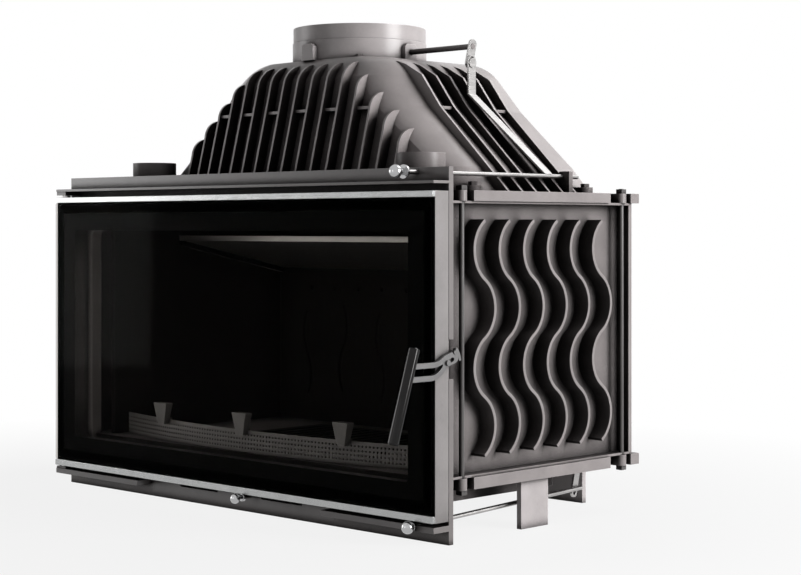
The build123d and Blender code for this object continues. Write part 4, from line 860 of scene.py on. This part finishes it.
class INSERT_OT_guard(InsertOperator, bpy.types.Operator):
    """Punch the rows of holes in the bowed sheet of the log guard."""

    bl_idname = "insert.guard"
    bl_label = "Log guard"

    def execute(self, context):
        settings = context.scene.insert_guard
        low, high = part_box("log_guard")
        thick = settings.sheet_thick
        half = high.x - thick / 2
        front = low.y + thick / 2
        sag = high.y - front - thick / 2
        bow = (half**2 + sag**2) / (2 * sag)
        reach = math.asin(half / bow)
        columns = round(2 * reach * bow / settings.hole_pitch)
        rows = int((high.z - low.z - 2 * settings.rim) / settings.hole_pitch)
        rim = (high.z - low.z - rows * settings.hole_pitch) / 2
        ring = ((1, 0), (1, 1), (0, 1), (-1, 1), (-1, 0), (-1, -1), (0, -1), (1, -1))

        def bend(turn, z, depth):
            out = bow - depth
            return (out * math.sin(turn), front + bow - out * math.cos(turn), z)

        def punched_sheet(shape):
            cell_turn = 2 * reach / columns
            for depth in (-thick / 2, thick / 2):
                for column in range(columns):
                    turn = -reach + (column + 0.5) * cell_turn
                    for row in range(rows):
                        middle = low.z + rim + (row + 0.5) * settings.hole_pitch
                        outer, inner = [], []
                        for u, v in ring:
                            outer.append((turn + u * cell_turn / 2, middle + v * settings.hole_pitch / 2))
                            size = settings.hole_size / 2 / math.hypot(u, v)
                            inner.append((turn + u * size / bow, middle + v * size))
                        for index in range(len(ring)):
                            after = (index + 1) % len(ring)
                            corners = (outer[index], outer[after], inner[after], inner[index])
                            add_face(shape, [bend(*place, depth) for place in corners])
                            if depth > 0:
                                wall = [bend(*inner[index], -depth), bend(*inner[after], -depth)]
                                wall += [bend(*inner[after], depth), bend(*inner[index], depth)]
                                add_face(shape, wall)
                    for z0, z1 in ((low.z, low.z + rim), (high.z - rim, high.z)):
                        edges = ((turn - cell_turn / 2, z0), (turn, z0), (turn + cell_turn / 2, z0))
                        edges += ((turn + cell_turn / 2, z1), (turn, z1), (turn - cell_turn / 2, z1))
                        add_face(shape, [bend(*place, depth) for place in edges])
                    if depth > 0:
                        for z in (low.z, high.z):
                            ends = (turn - cell_turn / 2, turn, turn + cell_turn / 2)
                            strip = [bend(end, z, -depth) for end in ends]
                            strip += [bend(end, z, depth) for end in reversed(ends)]
                            add_face(shape, strip)
            for end in (-reach, reach):
                levels = [low.z, high.z]
                levels += [low.z + rim + row * settings.hole_pitch / 2 for row in range(2 * rows + 1)]
                levels.sort()
                near = [bend(end, z, -thick / 2) for z in levels]
                far = [bend(end, z, thick / 2) for z in reversed(levels)]
                add_face(shape, near + far)
            bmesh.ops.remove_doubles(shape, verts=shape.verts, dist=MERGE_REACH)

        iron = context.scene.insert_iron
        material = cast_iron(
            "guard_steel",
            iron.guard_colour,
            relief=0.03,
            satin=0.8,
            highlight_gain=3.0,
            patch=1.6,
            recess=0.3,
            reach=0.08,
        )
        new_piece(
            "punched_guard",
            punched_sheet,
            material,
            "log_guard",
            replaces=("log_guard",),
        )
        return {"FINISHED"}


class INSERT_OT_duct(InsertOperator, bpy.types.Operator):
    """Fold the sheet that leads air from the slots up behind the lower front panel."""

    bl_idname = "insert.duct"
    bl_label = "Air duct"

    def execute(self, context):
        settings = context.scene.insert_duct
        thick, bend = settings.duct_thick, settings.duct_bend
        rails_low, rails_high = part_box("air_slide_rails")
        front = rails_high.y + settings.duct_gap
        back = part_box("ash_box")[0].y - settings.duct_gap
        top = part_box("bottom_plate")[0].z - settings.duct_gap
        foot = settings.duct_foot

        def section(inset):
            """Line of the sheet from its front edge over the floor and up the back."""
            places = [(front, foot + inset)]
            for turn in range(BEND_STEPS + 1):
                angle = math.radians(-90.0 + turn * 90.0 / BEND_STEPS)
                reach = bend - inset
                places.append((back - bend + reach * math.cos(angle), foot + bend + reach * math.sin(angle)))
            return places + [(back - inset, top)]

        def folded_sheet(shape):
            outer, inner = [], []
            for inset, rows in ((0.0, outer), (thick, inner)):
                for x in (rails_low.x + inset, rails_high.x - inset):
                    places = section(inset) + [(front, top)]
                    rows.append([shape.verts.new((x, y, z)) for y, z in places])
            for left, right in (outer, inner):
                for index in range(len(left) - 2):
                    shape.faces.new((left[index], left[index + 1], right[index + 1], right[index]))
                shape.faces.new(left)
                shape.faces.new(right)
            for side in (0, 1):
                for start in (0, -2):
                    near, far = outer[side], inner[side]
                    shape.faces.new((near[start], near[-1], far[-1], far[start]))
            for start in (0, -2):
                shape.faces.new((outer[0][start], outer[1][start], inner[1][start], inner[0][start]))

        iron = context.scene.insert_iron
        material = cast_iron("duct_steel", iron.inner_colour, relief=0.03, patch=1.6)
        new_piece("air_duct", folded_sheet, material, "root")
        return {"FINISHED"}


class INSERT_OT_door(InsertOperator, bpy.types.Operator):
    """Finish the door: frame, trim strips, glass and its print."""

    bl_idname = "insert.door"
    bl_label = "Door"

    def execute(self, context):
        iron = context.scene.insert_iron
        dress(cast_iron("door_iron", iron.door_colour, satin=0.5), ("door_frame",))
        dress(
            bright_metal("silver_trim", TRIM_COLOUR, 0.26, streak=ALONG_X),
            ("door_trim_top", "door_trim_foot"),
        )
        material, graph, shader = new_material("black_glass")
        smear = graph.noise(object_place(graph), 14.0, 3.0)
        graph.link(graph.spread(smear, *NOISE_RANGE, 0.02, 0.05), shader.inputs["Roughness"])
        shader.inputs["Base Color"].default_value = GLASS_TINT
        shader.inputs["Transmission Weight"].default_value = 1.0
        shader.inputs["IOR"].default_value = 1.03
        shader.inputs["Specular IOR Level"].default_value = 0.04
        dress(material, ("door_glass",))
        self.add_print(context.scene.insert_door)
        return {"FINISHED"}

    def add_print(self, door):
        material, graph, shader = new_material("glass_print")
        speckle = graph.noise(object_place(graph), 2500.0, 1.0)
        tone = graph.blend(graph.spread(speckle, *NOISE_RANGE), PRINT_DARK, PRINT_LIGHT)
        graph.link(tone, shader.inputs["Base Color"])
        shader.inputs["Roughness"].default_value = 0.3
        shader.inputs["Specular IOR Level"].default_value = 0.01
        low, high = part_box("door_glass")
        back = high.y + PRINT_GAP

        def frame_sheet(shape):
            outer = ((low.x + PRINT_INSET, low.z + PRINT_INSET), (high.x - PRINT_INSET, high.z - PRINT_INSET))
            half = door.window_width / 2
            inner = ((-half, door.window_low), (half, door.window_high))
            rings = []
            for (x0, z0), (x1, z1) in (outer, inner):
                corners = ((x0, z0), (x1, z0), (x1, z1), (x0, z1))
                rings.append([shape.verts.new((x, back, z)) for x, z in corners])
            for index in range(4):
                after = (index + 1) % 4
                shape.faces.new((rings[0][index], rings[0][after], rings[1][after], rings[1][index]))
            solid = bmesh.ops.extrude_face_region(shape, geom=shape.faces[:])
            moved = [item for item in solid["geom"] if isinstance(item, bmesh.types.BMVert)]
            bmesh.ops.translate(shape, verts=moved, vec=(0.0, door.print_thick, 0.0))

        new_piece("glass_print", frame_sheet, material, "door")


class INSERT_OT_seals(InsertOperator, bpy.types.Operator):
    """Braid the rope round the door and weave the gasket behind the glass."""

    bl_idname = "insert.seals"
    bl_label = "Seals"

    def execute(self, context):
        self.add_rope(context.scene.insert_seals)
        self.add_gasket(context.scene.insert_seals)
        return {"FINISHED"}

    def fibre(self, name, dark, light, scale):
        material, graph, shader = new_material(name)
        weave = graph.add("ShaderNodeTexVoronoi")
        weave.inputs["Scale"].default_value = scale
        graph.link(object_place(graph), weave.inputs["Vector"])
        fuzz = graph.noise(object_place(graph), scale * 2.5, 2.0)
        woven = graph.spread(weave.outputs["Distance"], 0.0, 0.7)
        tone = graph.maths("MULTIPLY", woven, graph.spread(fuzz, *NOISE_RANGE, 0.6, 1.0))
        graph.link(graph.blend(tone, colour4(light), colour4(dark)), shader.inputs["Base Color"])
        shader.inputs["Roughness"].default_value = 0.92
        shader.inputs["Sheen Weight"].default_value = 0.15
        graph.link(graph.bump(fuzz, 0.5, FIBRE_DEPTH), shader.inputs["Normal"])
        return material

    def add_rope(self, seals):
        low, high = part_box("door_rope_seal")
        wide = seals.rope_width / 2
        step = seals.braid_length / BRAID_STEPS
        points, length = seal_line(low, high, wide, seals.rope_corner, step)
        deep = (high.y - low.y) / 2
        middle = (low.y + high.y) / 2
        turns = round(length / seals.braid_length)
        rings = []
        for x, z, outward, run in points:
            ring = []
            for side in range(ROPE_SIDES):
                angle = math.tau * side / ROPE_SIDES
                wind = math.tau * turns * run / length
                left = math.sin(seals.strands * angle + wind)
                right = math.sin(seals.strands * angle - wind)
                size = 1.0 - seals.braid_relief * (1.0 - max(left, right)) / wide
                across = wide * size * math.cos(angle)
                y = middle + deep * size * math.sin(angle)
                ring.append((x + across * outward[0], y, z + across * outward[1]))
            rings.append(ring)

        def rope(shape):
            sweep_ring(shape, rings)

        material = self.fibre("rope", ROPE_DARK, ROPE_LIGHT, 900.0)
        new_piece("braided_rope", rope, material, "door", replaces=("door_rope_seal",))

    def add_gasket(self, seals):
        low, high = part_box("glass_gasket")
        wide = seals.gasket_width / 2
        points, _ = seal_line(low, high, wide, GASKET_CORNER, GASKET_STEP)
        section = [(across, low.y) for across in GASKET_LINES]
        section += [(across, high.y) for across in reversed(GASKET_LINES)]
        rings = []
        for x, z, outward, run in points:
            ring = []
            for across, y in section:
                fold = WEAVE_DEPTH * math.sin(run * WEAVE_PITCH) * (0.5 if abs(across) < 1.0 else 1.0)
                reach = (wide - abs(fold)) * across
                ring.append((x + reach * outward[0], y, z + reach * outward[1]))
            rings.append(ring)

        def gasket(shape):
            sweep_ring(shape, rings)

        material = self.fibre("gasket_fibre", GASKET_DARK, GASKET_LIGHT, 1400.0)
        new_piece("woven_gasket", gasket, material, "door", replaces=("glass_gasket",))


class INSERT_OT_controls(InsertOperator, bpy.types.Operator):
    """Finish the rods, knobs, links, handle, hinge pins and screws."""

    bl_idname = "insert.controls"
    bl_label = "Controls"

    def execute(self, context):
        dress(bright_metal("chrome", CHROME_COLOUR, 0.09), ("damper_knob", "air_slide_knob", "lower_knob"))
        dress(
            bright_metal("steel", STEEL_COLOUR, 0.28, streak=ALONG_Y),
            (
                "damper_rod",
                "damper_link",
                "crank_pin",
                "damper_crank",
                "lower_rod",
                "flap_lever",
                "door_hinge_pins",
                "trim_screws",
            ),
        )
        dress(bright_metal("dark_chrome", GRIP_COLOUR, 0.06), ("handle_grip",))
        dress(
            bright_metal("handle_steel", HANDLE_COLOUR, 0.34),
            ("handle_arm", "catch_stud", "handle_pivot_bolt"),
        )
        return {"FINISHED"}


def look_at(eye, target):
    """Turn that points a lamp from eye to target."""
    return (Vector(target) - Vector(eye)).to_track_quat("-Z", "Y").to_euler()


class INSERT_OT_stage(InsertOperator, bpy.types.Operator):
    """Set the floor, the sky, the soft lamps and the camera."""

    bl_idname = "insert.stage"
    bl_label = "Stage"

    def execute(self, context):
        stage = context.scene.insert_stage
        self.add_floor(stage)
        self.add_sky(stage)
        for label, place, width, height in LAMPS:
            self.add_lamp(f"{label}_lamp", place, width, height, getattr(stage, f"{label}_power"))
        self.add_camera(stage)
        context.scene.view_settings.view_transform = "Standard"
        return {"FINISHED"}

    def add_floor(self, stage):
        material, graph, shader = new_material("floor")
        grain = graph.noise(object_place(graph), 30.0)
        colour = stage.floor_colour
        tone = graph.blend(graph.spread(grain, *NOISE_RANGE), colour4(colour, 0.98), colour4(colour, 1.02))
        graph.link(tone, shader.inputs["Base Color"])
        shader.inputs["Roughness"].default_value = 0.9
        glow = graph.add("ShaderNodeEmission")
        glow.inputs["Color"].default_value = WHITE
        glow.inputs["Strength"].default_value = 1.0
        mixed = graph.add("ShaderNodeMixShader")
        distance = graph.add("ShaderNodeVectorMath", operation="LENGTH")
        graph.link(object_place(graph), distance.inputs[0])
        glow_share = graph.spread(distance.outputs["Value"], *GLOW_RANGE, stage.floor_glow, 1.0)
        graph.link(graph.maths("MULTIPLY", graph.seen_rays(), glow_share), mixed.inputs["Fac"])
        graph.link(shader.outputs[0], mixed.inputs[1])
        graph.link(glow.outputs[0], mixed.inputs[2])
        output = next(node for node in graph.tree.nodes if node.bl_idname == "ShaderNodeOutputMaterial")
        graph.link(mixed.outputs[0], output.inputs["Surface"])
        shape = bmesh.new()
        bmesh.ops.create_grid(shape, x_segments=8, y_segments=8, size=FLOOR_SIZE)
        mesh = bpy.data.meshes.new("floor")
        shape.to_mesh(mesh)
        shape.free()
        mesh.materials.append(material)
        floor = add_object("floor", mesh)

    def add_sky(self, stage):
        world = bpy.data.worlds.new("studio")
        bpy.context.scene.world = world
        world.use_nodes = True
        world.node_tree.nodes.clear()
        graph = Graph(world.node_tree)
        sky = graph.add("ShaderNodeBackground")
        sky.inputs["Color"].default_value = WHITE
        graph.link(graph.spread(graph.seen_rays(), 0.0, 1.0, stage.sky, 1.0), sky.inputs["Strength"])
        graph.link(sky.outputs[0], graph.add("ShaderNodeOutputWorld").inputs["Surface"])

    def add_lamp(self, name, place, width, height, power):
        lamp = bpy.data.lights.new(name, "AREA")
        lamp.shape = "RECTANGLE"
        lamp.size = width
        lamp.size_y = height
        lamp.energy = power
        holder = add_object(name, lamp)
        holder.location = place
        holder.rotation_euler = look_at(place, LAMP_TARGET)

    def add_camera(self, stage):
        camera = bpy.data.cameras.new("camera")
        camera.lens = stage.lens
        camera.sensor_width = 36.0  # millimetres
        camera.shift_y = stage.frame_rise
        camera.clip_end = 100.0
        holder = add_object("camera", camera)
        holder.location = stage.camera_place
        holder.rotation_euler = (math.pi / 2, 0.0, stage.camera_turn)
        bpy.context.scene.camera = holder


STEPS = (
    INSERT_OT_groups,
    INSERT_OT_body,
    INSERT_OT_front,
    INSERT_OT_chamber,
    INSERT_OT_guard,
    INSERT_OT_duct,
    INSERT_OT_door,
    INSERT_OT_seals,
    INSERT_OT_controls,
    INSERT_OT_stage,
)
SETTINGS = (
    ("insert_stage", StageSettings),
    ("insert_iron", IronSettings),
    ("insert_door", DoorSettings),
    ("insert_guard", GuardSettings),
    ("insert_duct", DuctSettings),
    ("insert_seals", SealSettings),
)


class INSERT_PT_panel(bpy.types.Panel):
    """Lists the operators and their settings."""

    bl_label = "Fireplace insert"
    bl_idname = "INSERT_PT_panel"
    bl_space_type = "VIEW_3D"
    bl_region_type = "UI"
    bl_category = "Insert"

    def draw(self, context):
        for name, group in SETTINGS:
            box = self.layout.box()
            for label in group.__annotations__:
                box.prop(getattr(context.scene, name), label)
        for step in STEPS:
            self.layout.operator(step.bl_idname)


def register():
    for name, group in SETTINGS:
        bpy.utils.register_class(group)
        setattr(bpy.types.Scene, name, bpy.props.PointerProperty(type=group))
    for step in STEPS:
        bpy.utils.register_class(step)
    bpy.utils.register_class(INSERT_PT_panel)


def unregister():
    bpy.utils.unregister_class(INSERT_PT_panel)
    for step in reversed(STEPS):
        bpy.utils.unregister_class(step)
    for name, group in reversed(SETTINGS):
        delattr(bpy.types.Scene, name)
        bpy.utils.unregister_class(group)


def main():
    register()
    for step in STEPS:
        area, name = step.bl_idname.split(".")
        getattr(getattr(bpy.ops, area), name)()


if __name__ == "__main__":
    main()
